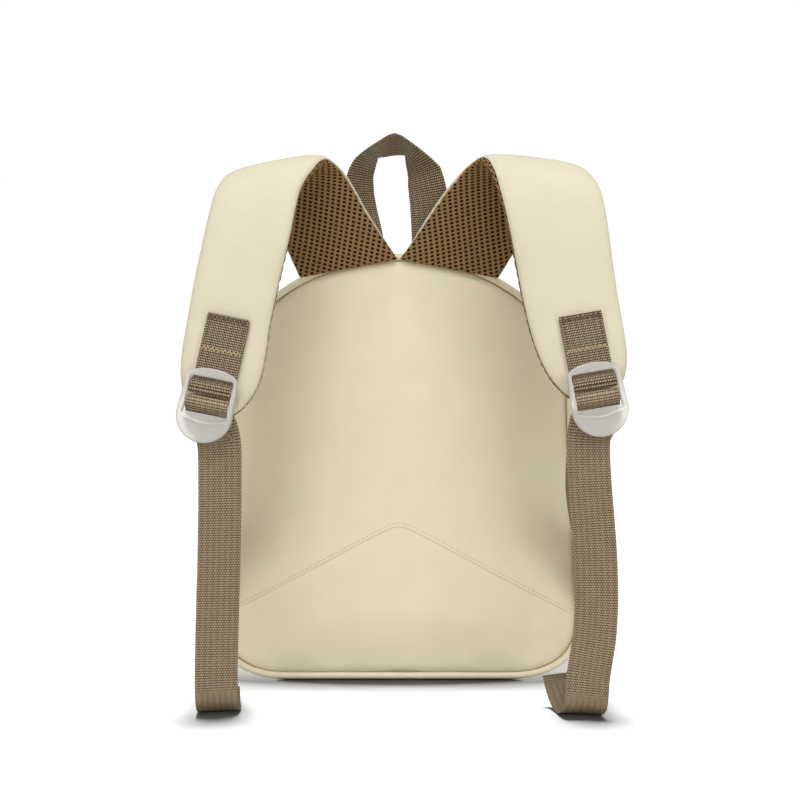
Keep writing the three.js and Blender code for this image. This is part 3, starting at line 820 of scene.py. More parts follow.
@dataclass(frozen=True)
class Stitching:
    """A row of stitches: the thread that shows between two needle holes, again and again."""

    pitch: float = 3.0
    length: float = 2.2
    thick: float = 0.55

    def sew(self, name: str, lines: Lines, tree: Tree, thread: bpy.types.Material,
            slot: Slot) -> Piece:
        """Sews along lines.

        Args:
            name: The piece's name.
            lines: Lines of points in millimetres.
            tree: The tree that sets the stitches.
            thread: The thread's finish.
            slot: The record's slot.

        Returns:
            The stitches as one piece.
        """
        edges, start = [], 0
        for line in lines:
            edges += [(start + i, start + i + 1) for i in range(len(line) - 1)]
            start += len(line)
        piece = make_piece(name, np.vstack(lines), [], edges=edges)
        grow(piece, tree, {"Pitch": self.pitch * MM, "Material": thread,
                           "Size": (self.thick * MM, self.thick * MM, self.length * MM)})
        return dress(piece, thread, slot)


@dataclass(frozen=True)
class ClothRun:
    """Settles sewn cloth by simulation: its seams are held and its filling pushes outwards."""

    pressure: float
    cap: float
    spare: float = 0.0
    frames: int = 20

    def settle(self, piece: Piece, sewn: Array) -> None:
        """Runs the cloth and keeps where it comes to rest.

        Args:
            piece: The sheet or closed cover.
            sewn: Whether each point is held by a seam.
        """
        before = read_points(piece)
        held = piece.vertex_groups.new(name="sewn")
        held.add([int(i) for i in np.flatnonzero(sewn)], 1.0, "REPLACE")
        cloth = piece.modifiers.new("Settle", "CLOTH")
        cloth.settings.quality = 6
        cloth.settings.mass = 0.3
        cloth.settings.tension_stiffness = 30
        cloth.settings.compression_stiffness = 30
        cloth.settings.shear_stiffness = 15
        cloth.settings.bending_stiffness = 6
        cloth.settings.vertex_group_mass = held.name
        cloth.settings.use_pressure = True
        cloth.settings.uniform_pressure_force = self.pressure
        cloth.settings.shrink_min = -self.spare
        cloth.settings.effector_weights.gravity = 0
        cloth.collision_settings.use_collision = False
        cloth.point_cache.frame_start = 1
        cloth.point_cache.frame_end = self.frames
        scene = bpy.context.scene
        for number in range(1, self.frames + 1):
            scene.frame_set(number)
        shown = piece.evaluated_get(bpy.context.evaluated_depsgraph_get())
        moved = read_points(shown) - before
        reach = np.linalg.norm(moved, axis=1, keepdims=True)
        LOG.info("%s settled by up to %.2f mm", piece.name, reach.max())
        piece.modifiers.remove(cloth)
        piece.vertex_groups.remove(held)
        write_points(piece, before + moved * np.minimum(1.0, self.cap / reach.clip(1e-9)))
        scene.frame_set(1)


# The bag's body


@dataclass(frozen=True)
class SeamLine:
    """Seam line of the back panel: an elliptical arch on flared sides, with soft lower corners.

    A place on it is counted in steps from the top, clockwise as the wearer sees it.
    """

    top: float = 259.0
    base: float = 5.0
    arch_centre: float = 180.0
    arch_half: float = 102.0
    base_half: float = 109.5
    corner_wide: float = 45.0
    corner_high: float = 38.0
    corner_power: float = 2.6
    arch_steps: float = 10.0
    side_steps: float = 4.0
    corner_steps: float = 6.0
    base_steps: float = 2.0

    @property
    def side_end(self) -> float:
        """Step where the side meets the lower corner."""
        return self.arch_steps + self.side_steps

    @property
    def corner_end(self) -> float:
        """Step where the lower corner meets the base."""
        return self.side_end + self.corner_steps

    @property
    def half_steps(self) -> float:
        """Steps from the top to the middle of the base."""
        return self.corner_end + self.base_steps

    def all_steps(self) -> Array:
        """Even steps round the whole line."""
        return np.linspace(0, 2 * self.half_steps, OUTLINE_POINTS, endpoint=False)

    def half(self, step: Array) -> Array:
        """Points of the right half.

        Args:
            step: Steps from the top.

        Returns:
            Pairs of x and z.
        """
        arch = np.clip(step / self.arch_steps, 0, 1) * math.pi / 2
        side = np.clip((step - self.arch_steps) / self.side_steps, 0, 1)
        turn = np.clip((step - self.side_end) / self.corner_steps, 0, 1) * math.pi / 2
        run = np.clip((step - self.corner_end) / self.base_steps, 0, 1)
        corner_x = self.base_half - self.corner_wide
        corner_z = self.base + self.corner_high
        across = np.cos(turn).clip(0) ** (2 / self.corner_power)
        down = np.sin(turn).clip(0) ** (2 / self.corner_power)
        where = [step < self.arch_steps, step < self.side_end, step < self.corner_end]
        x = np.select(where, [self.arch_half * np.sin(arch),
                              self.arch_half + (self.base_half - self.arch_half) * ease(side),
                              corner_x + self.corner_wide * across], corner_x * (1 - run))
        z = np.select(where, [self.arch_centre + (self.top - self.arch_centre) * np.cos(arch),
                              self.arch_centre + (corner_z - self.arch_centre) * side,
                              corner_z - self.corner_high * down], self.base + 0 * run)
        return np.stack([x, z], -1)

    def at(self, step: Array) -> Array:
        """Points of the whole line, as pairs of x and z.

        Args:
            step: Steps from the top.

        Returns:
            Pairs of x and z.
        """
        around = np.mod(step, 2 * self.half_steps)
        mirrored = around > self.half_steps
        points = self.half(np.where(mirrored, 2 * self.half_steps - around, around))
        points[..., 0] = np.where(mirrored, -points[..., 0], points[..., 0])
        return points

    def outwards(self, step: Array) -> Array:
        """Directions out of the line, in its plane.

        Args:
            step: Steps from the top.

        Returns:
            Directions of length 1.
        """
        nudge = 0.06
        ahead = self.at(step + nudge) - self.at(step - nudge)
        return unit(np.stack([-ahead[..., 1], ahead[..., 0]], -1))


@dataclass(frozen=True)
class GussetForm:
    """The band between the two seams: it bulges between them, tapers to the front and has a flat base."""

    seam: SeamLine = SeamLine()
    start: float = 3.9
    end: float = 97.0
    edge: float = 3.2
    side_bulge: float = 3.0
    top_bulge: float = 1.5
    base_bulge: float = 6.0
    taper_wide: float = 0.03
    taper_high: float = 0.035

    @property
    def depth(self) -> float:
        """Distance between its two edges."""
        return self.end - self.start

    def point(self, step: Array, share: Array, height: Array | float) -> Array:
        """Points on or above the gusset's face.

        Args:
            step: Steps along the seam line.
            share: Shares of the depth, from the back seam.
            height: Height above the face.

        Returns:
            Points in the shared frame.
        """
        step, share, height = np.broadcast_arrays(step, share, height)
        seam = self.seam.at(step.astype(float))
        out = self.seam.outwards(step.astype(float))
        limit = np.where(out[..., 1] < 0, self.base_bulge, self.top_bulge)
        bulge = self.side_bulge + (limit - self.side_bulge) * np.abs(out[..., 1])
        reach = self.edge + bulge * np.sin(math.pi * np.clip(share, 0, 1))
        base = self.seam.base
        x = (seam[..., 0] + out[..., 0] * reach) * (1 - self.taper_wide * share)
        z = base + (seam[..., 1] + out[..., 1] * reach - base) * (1 - self.taper_high * share)
        y = BACK_SEAM_Y + self.start + self.depth * share
        return np.stack([x + out[..., 0] * height, y, z.clip(0) + out[..., 1] * height], -1)


@dataclass
class CrownedPanel:
    """A sewn panel inside an edge line: fullest in the middle, rolled in at its seam."""

    edge: Array
    face_y: float
    crown: float
    centre: float = BODY_MIDDLE
    power: float = 2.5
    roll_wide: float = 0.03
    roll_deep: float = 1.4
    stiff: float = 0.12
    columns: int = 61
    wall: float = 2.6

    def share(self, points: Array) -> Array:
        """How far points lie from the crown's middle, as a share of the way to the edge line.

        Args:
            points: Pairs of x and z.

        Returns:
            0 in the middle and 1 on the edge line.
        """
        angle = np.arctan2(self.edge[:, 0], self.edge[:, 1] - self.centre)
        reach = np.hypot(self.edge[:, 0], self.edge[:, 1] - self.centre)
        order = np.argsort(angle)
        way = np.arctan2(points[..., 0], points[..., 1] - self.centre)
        limit = np.interp(way, angle[order], reach[order], period=2 * math.pi)
        return np.hypot(points[..., 0], points[..., 1] - self.centre) / limit

    def grid(self, sides: Array) -> Array:
        """Points of the panel in rows from its top to its base.

        Args:
            sides: The edge line's right half, as pairs of x and z.

        Returns:
            Rows of points.
        """
        across = np.linspace(-1, 1, self.columns)
        flat = np.stack([sides[:, :1] * across, np.repeat(sides[:, 1:], self.columns, 1)], -1)
        share = self.share(flat).clip(0, 1)
        roll = ((share - 1 + self.roll_wide) / self.roll_wide).clip(0) ** 2
        y = self.face_y + self.crown * (1 - share**self.power)
        y -= math.copysign(self.roll_deep, self.crown) * roll
        return np.stack([flat[..., 0], y, flat[..., 1]], -1)

    def sheet(self, name: str, rows: Array) -> Piece:
        """Makes rows of points a sheet whose layout is its own x and z.

        Args:
            name: The piece's name.
            rows: Rows of points.

        Returns:
            The sheet.
        """
        count, columns, _ = rows.shape
        piece = make_piece(name, rows, grid_faces(count, columns), rows[..., [0, 2]])
        face_towards(piece, (0, self.crown, 0))
        return piece

    def settled(self, name: str, rows: Array, run: ClothRun) -> Array:
        """Rows of points after the cloth has settled with its border sewn down.

        Args:
            name: Name of the sheet while it settles.
            rows: Rows of points as cut.
            run: The simulation's settings.

        Returns:
            Rows of points at rest.
        """
        piece = self.sheet(name, rows)
        border = np.ones(rows.shape[:2], bool)
        border[1:-1, 1:-1] = False
        run.settle(piece, border.ravel())
        # The seam's stiffness flattens the cloth beside it.
        loose = ((1 - self.share(rows[..., [0, 2]])) / self.stiff).clip(0, 1)[..., None]
        points = rows + (read_points(piece).reshape(rows.shape) - rows) * ease(loose)
        mesh = piece.data
        bpy.data.objects.remove(piece)
        bpy.data.meshes.remove(mesh)
        return points


# The first step of a panel's rows, and how many rows its arch, its sides and its corners have
FIRST_ROW = 0.1
ROW_COUNTS = (36, 32, 22)


def half_rows(seam: SeamLine) -> Array:
    """Steps of a panel's rows, from just beside the top to the base.

    Args:
        seam: The panel's seam line.

    Returns:
        The steps.
    """
    ends = (FIRST_ROW, seam.arch_steps, seam.side_end, seam.corner_end)
    return np.concatenate([np.linspace(start, end, count, endpoint=end == seam.corner_end)
                           for start, end, count in zip(ends, ends[1:], ROW_COUNTS)])


@dataclass
class BackPanel:
    """The wearer's side: two cloths that meet in a topstitched chevron."""

    form: GussetForm
    apex: float = 100.6
    slope: float = 0.552
    apex_round: float = 5.0
    crown: float = -8.0
    # Hem of the upper cloth: distance from its edge, and how far it stands out
    hem: tuple = ((0, 0.05), (0.5, 0.2), (1.1, 0.25), (1.7, 0.15), (2.4, -0.12), (3.1, 0.06), (4.2, 0.04), (6, 0))
    # Top of the lower cloth, which turns in behind the hem
    tuck: tuple = ((0.02, -0.1), (0.4, -0.04), (0.9, 0.0), (2.2, 0.0), (4.0, 0.0))
    stitch_offset: float = 2.4
    stitch_sunk: float = 0.05
    upper_rows: int = 64
    lower_rows: int = 26

    def chevron(self, x: Array) -> Array:
        """Height of the chevron seam at each x."""
        return self.apex - self.slope * np.sqrt(x**2 + self.apex_round**2)

    def build(self, finishes: "Finishes") -> None:
        """Builds both cloths and the stitches on the seam.

        Args:
            finishes: The finishes and node trees.
        """
        seam = self.form.seam
        panel = CrownedPanel(seam.at(seam.all_steps()), BACK_SEAM_Y, self.crown)
        rows = panel.grid(seam.half(half_rows(seam)))
        rows = panel.settled("back_cloth", rows, ClothRun(pressure=1.2, cap=2.5, spare=0.004))
        upper, lower, sewn = self.split(rows)
        for name, part, cad in (("upper_back_cloth", upper, "back_panel_upper"),
                                ("lower_back_cloth", lower, "back_panel_lower")):
            piece = panel.sheet(name, part)
            add_wall(piece, panel.wall)
            dress(piece, finishes.cloth, Slot.CLOTH, cad)
        Stitching().sew("chevron_stitches", [sewn], finishes.beads, finishes.thread, Slot.CLOTH)

    def split(self, rows: Array) -> tuple[Array, Array, Array]:
        """Parts the panel along the chevron.

        Args:
            rows: Rows of points of the whole panel.

        Returns:
            Rows of the upper cloth, rows of the lower cloth and the line of stitches.
        """
        upper, lower, sewn = [], [], []
        for j in range(rows.shape[1]):
            column = rows[:, j]
            length = run_lengths(column)
            above = column[:, 2] - self.chevron(column[:, 0])
            cut = np.interp(0.0, -above, length)
            for parts, table, end, count in ((upper, self.hem, 0.0, self.upper_rows),
                                             (lower, self.tuck, length[-1], self.lower_rows)):
                away, lift = np.array(table).T
                reach = abs(end - cut)
                away = np.concatenate([away, np.linspace(away[-1], reach, count)[1:]])
                lift = np.concatenate([lift, np.zeros(count - 1)])
                at = cut + math.copysign(1, end - cut) * np.minimum(away, reach)
                line = smooth_line(column, np.interp(at, length, np.arange(len(length))))
                line[:, 1] -= lift
                parts.append(line)
            at = max(cut - self.stitch_offset, 0.0)
            point = smooth_line(column, np.interp([at], length, np.arange(len(length))))[0]
            sewn.append(point + np.array([0, self.stitch_sunk, 0]))
        return np.array(upper).transpose(1, 0, 2), np.array(lower).transpose(1, 0, 2), np.array(sewn)[1:-1]


@dataclass
class Piping:
    """A cord covered in cloth, sewn into the back seam, with its join at the base."""

    form: GussetForm
    radius: float = 2.1
    offset: float = 2.35
    centre_y: float = 1.5
    sides: int = 14
    steps: int = 528
    # Depth and length of the puckers, and the place, depth and length of the pinch at the join
    pucker: tuple = (0.1, 3.5)
    join: tuple = (21.8, 0.35, 0.03)

    def build(self, finishes: "Finishes") -> None:
        """Builds the cord with small puckers.

        Args:
            finishes: The finishes and node trees.
        """
        seam = self.form.seam
        step = np.arange(self.steps) / self.steps * 2 * seam.half_steps
        line, out = seam.at(step), seam.outwards(step)
        angle = np.arange(self.sides) / self.sides * 2 * math.pi
        along = run_lengths(line)
        deep, long = self.pucker
        pinch = np.array([noise.noise(Vector((d / long, 0.5, 0.5))) for d in along]) * deep
        place, deep, long = self.join
        pinch -= deep * np.exp(-((step - place) / long) ** 2)
        radius = self.radius + pinch
        reach = self.offset + radius[:, None] * np.cos(angle)
        y = BACK_SEAM_Y + self.centre_y + radius[:, None] * np.sin(angle)
        rings = np.stack([line[:, None, 0] + out[:, None, 0] * reach, y,
                          line[:, None, 1] + out[:, None, 1] * reach], -1)
        # The strip is cut on the cross and stretched round its cord, so its rows don't show.
        flat = np.full(rings.shape[:2] + (2,), CREAM_CLOTH.grain_long / 2)
        piece = make_piece("piping_cord", rings, grid_faces(self.steps, self.sides, True, True), flat)
        turn_outwards(piece)
        dress(piece, finishes.cloth, Slot.CLOTH, "back_piping")


@dataclass
class Gusset:
    """The band round the bag's depth, with a slot for the zip over the arch."""

    form: GussetForm
    zip_steps: float = 12.0
    slot_half: float = 4.8
    wall: float = 1.8
    slack: float = 0.8
    stitch_out: float = 8.0
    stitch_lift: float = 0.05
    row_step: float = 0.2
    half_columns: int = 13
    # Size of a hollow, how high the base stays flat, and over which height the slack grows
    hollow: tuple = (30.0, 22.0, 30.0)
    flat_base: float = 6.0
    slack_rise: float = 30.0

    def build(self, finishes: "Finishes") -> None:
        """Builds the band and the topstitching beside the zip.

        Args:
            finishes: The finishes and node trees.
        """
        form = self.form
        edge = self.slot_half / form.depth
        share = np.concatenate([np.linspace(0, 0.5 - edge, self.half_columns), [0.5],
                                np.linspace(0.5 + edge, 1, self.half_columns)])
        half = form.seam.half_steps
        step = np.arange(-half, half, self.row_step)
        rows = form.point(step[:, None], share[None, :], 0.0)
        rows += self.folds(rows, share)
        flat = np.stack(np.broadcast_arrays(run_lengths(rows[:, len(share) // 2])[:, None],
                                            form.depth * share[None, :]), -1)
        faces = grid_faces(len(step), len(share), round_rows=True)
        middle = np.array(faces).reshape(len(step), len(share) - 1, 4)
        in_slot = np.zeros(middle.shape[:2], bool)
        in_slot[np.abs(step + self.row_step / 2) < self.zip_steps] = np.abs((share[1:] + share[:-1]) / 2 - 0.5) < edge
        piece = make_piece("gusset_cloth", rows, middle[~in_slot].tolist(), flat)
        with opened(piece) as work:
            bmesh.ops.delete(work, geom=[v for v in work.verts if not v.link_faces], context="VERTS")
        self.face_outwards(piece)
        add_wall(piece, self.wall)
        dress(piece, finishes.cloth, Slot.CLOTH, "gusset")
        sewn = np.linspace(-self.zip_steps, self.zip_steps, 200)
        lines = [form.point(sewn, 0.5 + side * self.stitch_out / form.depth, self.stitch_lift) for side in (-1, 1)]
        Stitching().sew("zip_topstitching", lines, finishes.beads, finishes.thread, Slot.CLOTH)

    def folds(self, rows: Array, share: Array) -> Array:
        """Shallow hollows of slack cloth, none at the seams, the slot or the flat base.

        Args:
            rows: Rows of points of the band.
            share: Each column's share of the depth.

        Returns:
            A move for each point.
        """
        moves = np.zeros_like(rows)
        for i, row in enumerate(rows):
            for j, point in enumerate(row):
                loose = math.sin(math.pi * share[j]) * abs(math.sin(2 * math.pi * share[j]))
                loose *= min(1.0, max(0.0, (point[2] - self.flat_base) / self.slack_rise))
                wave = noise.noise(Vector(point / self.hollow))
                outwards = np.array([point[0], 0.0, point[2] - BODY_MIDDLE])
                moves[i, j] = -unit(outwards) * self.slack * loose * (0.5 + wave)
        return moves

    @staticmethod
    def face_outwards(piece: Piece) -> None:
        """Flips the band unless its faces look away from its middle.

        Args:
            piece: The band.
        """
        middle = Vector((0, 0, BODY_MIDDLE * MM))
        total = sum(face.area * face.normal.dot(face.center - middle) for face in piece.data.polygons)
        if total < 0:
            piece.data.flip_normals()


@dataclass
class FrontPanel:
    """The plain panel on the far side."""

    form: GussetForm
    gap: float = 0.3
    wall: float = 3.0
    crown: float = 9.0

    def build(self, finishes: "Finishes") -> None:
        """Builds the panel from the gusset's front edge.

        Args:
            finishes: The finishes and node trees.
        """
        form, seam = self.form, self.form.seam
        outline = form.point(seam.all_steps(), 1.0, 0.0)[:, [0, 2]]
        face = BACK_SEAM_Y + form.end + self.gap + self.wall
        panel = CrownedPanel(outline, face, self.crown)
        sides = form.point(half_rows(seam), 1.0, 0.0)[:, [0, 2]]
        rows = panel.settled("front_sheet", panel.grid(sides), ClothRun(pressure=1.2, cap=2.5, spare=0.006))
        piece = panel.sheet("front_cloth", rows)
        add_wall(piece, panel.wall)
        dress(piece, finishes.cloth, Slot.CLOTH, "front_panel")


@dataclass
class Zip:
    """Tape, coil and slider over the arch of the gusset."""

    form: GussetForm
    steps: float = 11.98
    tape: float = 9.0
    thick: float = 1.2
    floor: float = -2.0
    groove: float = 0.3
    coil: tuple = (3.6, 1.3, 1.15)
    coil_lift: float = 0.35
    coil_inset: float = 0.05
    pitch: float = 1.3
    slider_step: float = -10.0
    slider: tuple = (8.0, 11.0, 4.0)
    pull: tuple = (7.0, 24.0, 1.4)
    pull_lap: float = 2.0
    pull_lift: float = 0.4
    corner: float = 2.4
    rim: float = 0.3

    def build(self, finishes: "Finishes") -> None:
        """Builds the tape, the coil and the slider with its pull.

        Args:
            finishes: The finishes and node trees.
        """
        form, half = self.form, self.tape / 2
        step = np.linspace(-self.steps, self.steps, 160)
        face = self.floor + self.thick
        section = [(-half, self.floor), (0, self.floor), (half, self.floor), (half, face), (self.groove, face),
                   (0.0, face - self.groove), (-self.groove, face), (-half, face)]
        rings = np.stack([form.point(step, 0.5 + y / form.depth, h) for y, h in section], 1)
        along = run_lengths(rings[:, 1])
        flat = np.stack(np.broadcast_arrays([y for y, _ in section], along[:, None]), -1)
        dress(loft("zip_tape", rings, flat), finishes.zip_tape, Slot.ZIP, "zip")
        end = self.steps - self.coil_inset
        line = form.point(np.linspace(-end, end, 300), 0.5, face + self.coil_lift)
        teeth = make_piece("zip_coil", line, [], edges=[(i, i + 1) for i in range(len(line) - 1)])
        grow(teeth, finishes.beads, {"Pitch": self.pitch * MM, "Material": finishes.coil,
                                     "Size": [size * MM for size in self.coil]})
        dress(teeth, finishes.coil, Slot.ZIP)
        self.build_slider(face, finishes)

    def build_slider(self, face: float, finishes: "Finishes") -> None:
        """Builds the slider and its pull, turned to the gusset.

        Args:
            face: Height of the tape's face.
            finishes: The finishes and node trees.
        """
        at = np.array(self.slider_step)
        seat = self.form.point(at, 0.5, face + self.slider[2] / 2)
        plane = self.form.seam.outwards(at)
        out = Vector((plane[0], 0, plane[1])).normalized()
        depth = Vector((0, 1, 0))
        turn = Matrix((depth, out.cross(depth), out)).transposed().to_4x4()
        turn.translation = Vector(seat * MM)
        height = self.slider[2] / 2 - self.pull[2] / 2 + self.pull_lift
        piece = make_piece("zip_slider", np.zeros((0, 3)), [])
        with opened(piece) as work:
            for size, shift in ((self.slider, (0, 0, 0)), (self.pull, (0, self.pull[1] / 2 - self.pull_lap, height))):
                cube = bmesh.ops.create_cube(work, size=1.0)["verts"]
                bmesh.ops.scale(work, vec=Vector(size) * MM, verts=cube)
                bmesh.ops.translate(work, vec=Vector(shift) * MM, verts=cube)
                edges = {edge for vert in cube for edge in vert.link_edges}
                upright = [edge for edge in edges if abs((edge.verts[0].co - edge.verts[1].co).z) > TOUCH * MM]
                bmesh.ops.bevel(work, geom=upright, offset=self.corner * MM, segments=5, affect="EDGES", profile=0.5)
            bmesh.ops.transform(work, matrix=turn, verts=work.verts)
        piece.data.shade_smooth()
        piece.data.set_sharp_from_angle(angle=math.radians(35))
        rim = piece.modifiers.new("Rim", "BEVEL")
        rim.width, rim.segments, rim.limit_method = self.rim * MM, 2, "ANGLE"
        dress(piece, finishes.coil, Slot.ZIP)


# Webbing


@dataclass
class Ribbon:
    """Webbing that follows a CAD loft: rounded selvedges, with its layout in millimetres."""

    node: str
    name: str
    half_wide: float = 12.5
    half_thick: float = 0.6
    spacing: float = 1.6
    # Length over which one face turns to the other, and over which a sideways move sets in and ends
    face_fade: float = 6.0
    sway_fade: tuple = (40.0, -20.0)
    # Whether it takes the darker copy of the webbing, which paints the shade on the short pieces and the handle
    shade_painted: bool = False
    run: Array = field(init=False)
    middle: Array = field(init=False)
    across: Array = field(init=False)
    out: Array = field(init=False)

    def __post_init__(self) -> None:
        """Reads the loft from its higher end and resamples its middle line and its turn."""
        rings = cad_rings(self.node, 4)
        if np.linalg.norm(rings[:, 0] - rings[:, 1], axis=1).mean() < self.half_wide:
            rings = np.roll(rings, 1, axis=1)
        if rings[0, :, 2].mean() < rings[-1, :, 2].mean():
            rings = rings[::-1]
        middle = rings.mean(1)
        across = unit((rings[:, 0] + rings[:, 3] - rings[:, 1] - rings[:, 2]) / 2)
        gaps = np.linalg.norm(np.diff(middle, axis=0), axis=1)
        counts = np.ceil(gaps / self.spacing).astype(int).clip(2)
        samples = np.concatenate([i + np.arange(n) / n for i, n in enumerate(counts)] + [[len(gaps)]])
        self.middle = smooth_line(middle, samples)
        self.run = run_lengths(self.middle)
        along = unit(np.gradient(self.middle, axis=0))
        across = smooth_line(across, samples)
        self.across = unit(across - along * (across * along).sum(1, keepdims=True))
        self.out = np.cross(along, self.across)

    @property
    def length(self) -> float:
        """Length of the webbing from end to end."""
        return float(self.run[-1])

    def at(self, points: Array, lift: float) -> Array:
        """Places on the webbing's face.

        Args:
            points: Pairs of a distance across from the middle and a distance along.
            lift: Height off the middle of the webbing.

        Returns:
            Points in the shared frame.
        """
        middle, across, out = (along_run(points[:, 1], self.run, line)
                               for line in (self.middle, self.across, self.out))
        return middle + across * points[:, :1] + out * lift

    def section(self) -> Array:
        """Outline of the webbing across and out, with round selvedges.

        Returns:
            Pairs of a distance across and a height.
        """
        flat = np.linspace(-1, 1, 9) * (self.half_wide - self.half_thick)
        turn = np.radians([54, 18, -18, -54])
        edge = np.stack([self.half_wide - self.half_thick * (1 - np.cos(turn)), self.half_thick * np.sin(turn)], -1)
        front = np.stack([flat, np.full(len(flat), self.half_thick)], -1)
        return np.vstack([front, edge, front[::-1] * (1, -1), edge[::-1] * (-1, 1)])

    def build(self, finishes: "Finishes", ribbed: tuple[float, float] = (0.0, 0.0)) -> None:
        """Builds the webbing.

        Args:
            finishes: The finishes and node trees.
            ribbed: From where to where along it the face with lengthwise ribs shows.
        """
        section = self.section()
        rings = (self.middle[:, None] + self.across[:, None] * section[None, :, :1]
                 + self.out[:, None] * section[None, :, 1:])
        flat = np.stack(np.broadcast_arrays(section[None, :, 0], self.run[:, None]), -1)
        # The darker copy is painted shade, for the short webbing and the handle
        material = finishes.shade_painted_webbing if self.shade_painted else finishes.webbing
        piece = dress(loft(self.name, rings, flat), material, Slot.WEBBING, self.node)
        turned = self.rise(ribbed[0], self.face_fade) * self.rise(ribbed[1], -self.face_fade)
        face = piece.data.attributes.new("turned", "FLOAT", "POINT")
        face.data.foreach_set("value", np.append(turned.repeat(len(section)), turned[[0, -1]]).astype(np.float32))

    def rise(self, at: float, length: float) -> Array:
        """Goes smoothly from 0 to 1 over a length from a place on, or back from it where that is negative."""
        return ease(((self.run - at) / length).clip(0, 1))

    def sway(self, start: float, end: float, reach: float) -> None:
        """Moves part of the webbing sideways.

        Args:
            start: Where along it the move begins.
            end: Where it ends.
            reach: The move at the middle of that part, towards +X.
        """
        self.middle[:, 0] += reach * self.rise(start, self.sway_fade[0]) * self.rise(end, self.sway_fade[1])


@dataclass
class GrabHandle:
    """The loop of webbing between the straps, whose underside shows at the top."""

    underside: tuple = (60.0, 91.0)
    # Where along the loop each edge is straight from one corner to the next, and the corners between the ends
    lower_runs: tuple = (50.0, 63.4, 87.6, 100.0)
    lower_corners: tuple = ((-12.8, -29.3, 321.4), (4.2, -30.0, 323.4))
    upper_runs: tuple = (66.0, 75.5, 78.5, 81.5, 105.5, 113.0)
    upper_corners: tuple = ((-6.4, -52.3, 334.8), (-2.6, -51.9, 336.1), (1.4, -52.2, 334.6), (25.5, -48.4, 315.7))

    def build(self, finishes: "Finishes") -> None:
        """Builds the loop, which is creased on both sides of its flat top.

        Args:
            finishes: The finishes and node trees.
        """
        # The handle takes the darker copy of the webbing: painted shade
        loop = Ribbon("grab_handle", "handle_webbing", shade_painted=True)
        edges = [loop.middle + hand * loop.half_wide * loop.across for hand in (-1, 1)]
        upper = self.crease(loop.run, edges[0], self.upper_runs, self.upper_corners)
        lower = self.crease(loop.run, edges[1], self.lower_runs, self.lower_corners)
        loop.across = unit(lower - upper)
        loop.middle = (upper + lower) / 2
        loop.out = np.cross(unit(np.gradient(loop.middle, axis=0)), loop.across)
        loop.build(finishes, self.underside)

    @staticmethod
    def crease(run: Array, edge: Array, runs: tuple, corners: tuple) -> Array:
        """Straightens part of an edge.

        Args:
            run: Lengths along the loop.
            edge: The edge's points.
            runs: Where the part starts, where its corners are and where it ends.
            corners: The places of the corners.

        Returns:
            The edge's new points.
        """
        start, end = along_run(np.array([runs[0], runs[-1]]), run, edge)
        straight = along_run(run, runs, np.array([start, *corners, end]))
        return np.where(((run > runs[0]) & (run < runs[-1]))[:, None], straight, edge)


# Shoulder straps


@dataclass(frozen=True)
class NetCell:
    """One repeat of the knitted mesh: an oval hole between two columns of loops and two lower bars."""

    columns: float = 3.05
    holes: float = 3.0
    hole_half: tuple = (0.95, 0.98)
    crown: float = 1.0
    border: float = 0.85
    bar: float = 0.7
    foot: float = 0.1
    # How square the hole is, how far its rim lies below the crown, and how much wider its foot is
    square: float = 0.8
    rim_drop: float = 0.25
    foot_wide: float = 1.12

    def build(self) -> Piece:
        """Makes the flat cell, out of the scene's view.

        Returns:
            The cell, as an object that no collection holds.
        """
        side = np.array([(1, 0), (1, 0.5), (1, 1), (0.5, 1), (0, 1), (-0.5, 1), (-1, 1), (-1, 0.5)])
        rim = np.vstack([side, -side]) * (self.columns / 2, self.holes / 2)
        angle = np.arctan2(rim[:, 1] / self.hole_half[1], rim[:, 0] / self.hole_half[0])
        hole = np.stack([np.cos(angle), np.sin(angle)], -1)
        hole = np.sign(hole) * np.abs(hole)**self.square * self.hole_half
        raised = self.bar + (1 - self.bar) * np.abs(rim[:, :1]) / (self.columns / 2)
        rings = [(rim, self.border), ((rim + hole) / 2, self.crown), (hole, self.crown - self.rim_drop),
                 (hole * self.foot_wide, self.foot)]
        points = np.vstack([np.hstack([ring, height * raised]) for ring, height in rings])
        cell = make_piece("net_cell", points, grid_faces(len(rings), len(rim), round_columns=True))
        face_towards(cell, (0, 0, 1))
        bpy.context.scene.collection.objects.unlink(cell)
        return cell


# Points in a ring of a strap's CAD faces, and those on its flat side
STRAP_RING = 12
STRAP_FLAT = 5


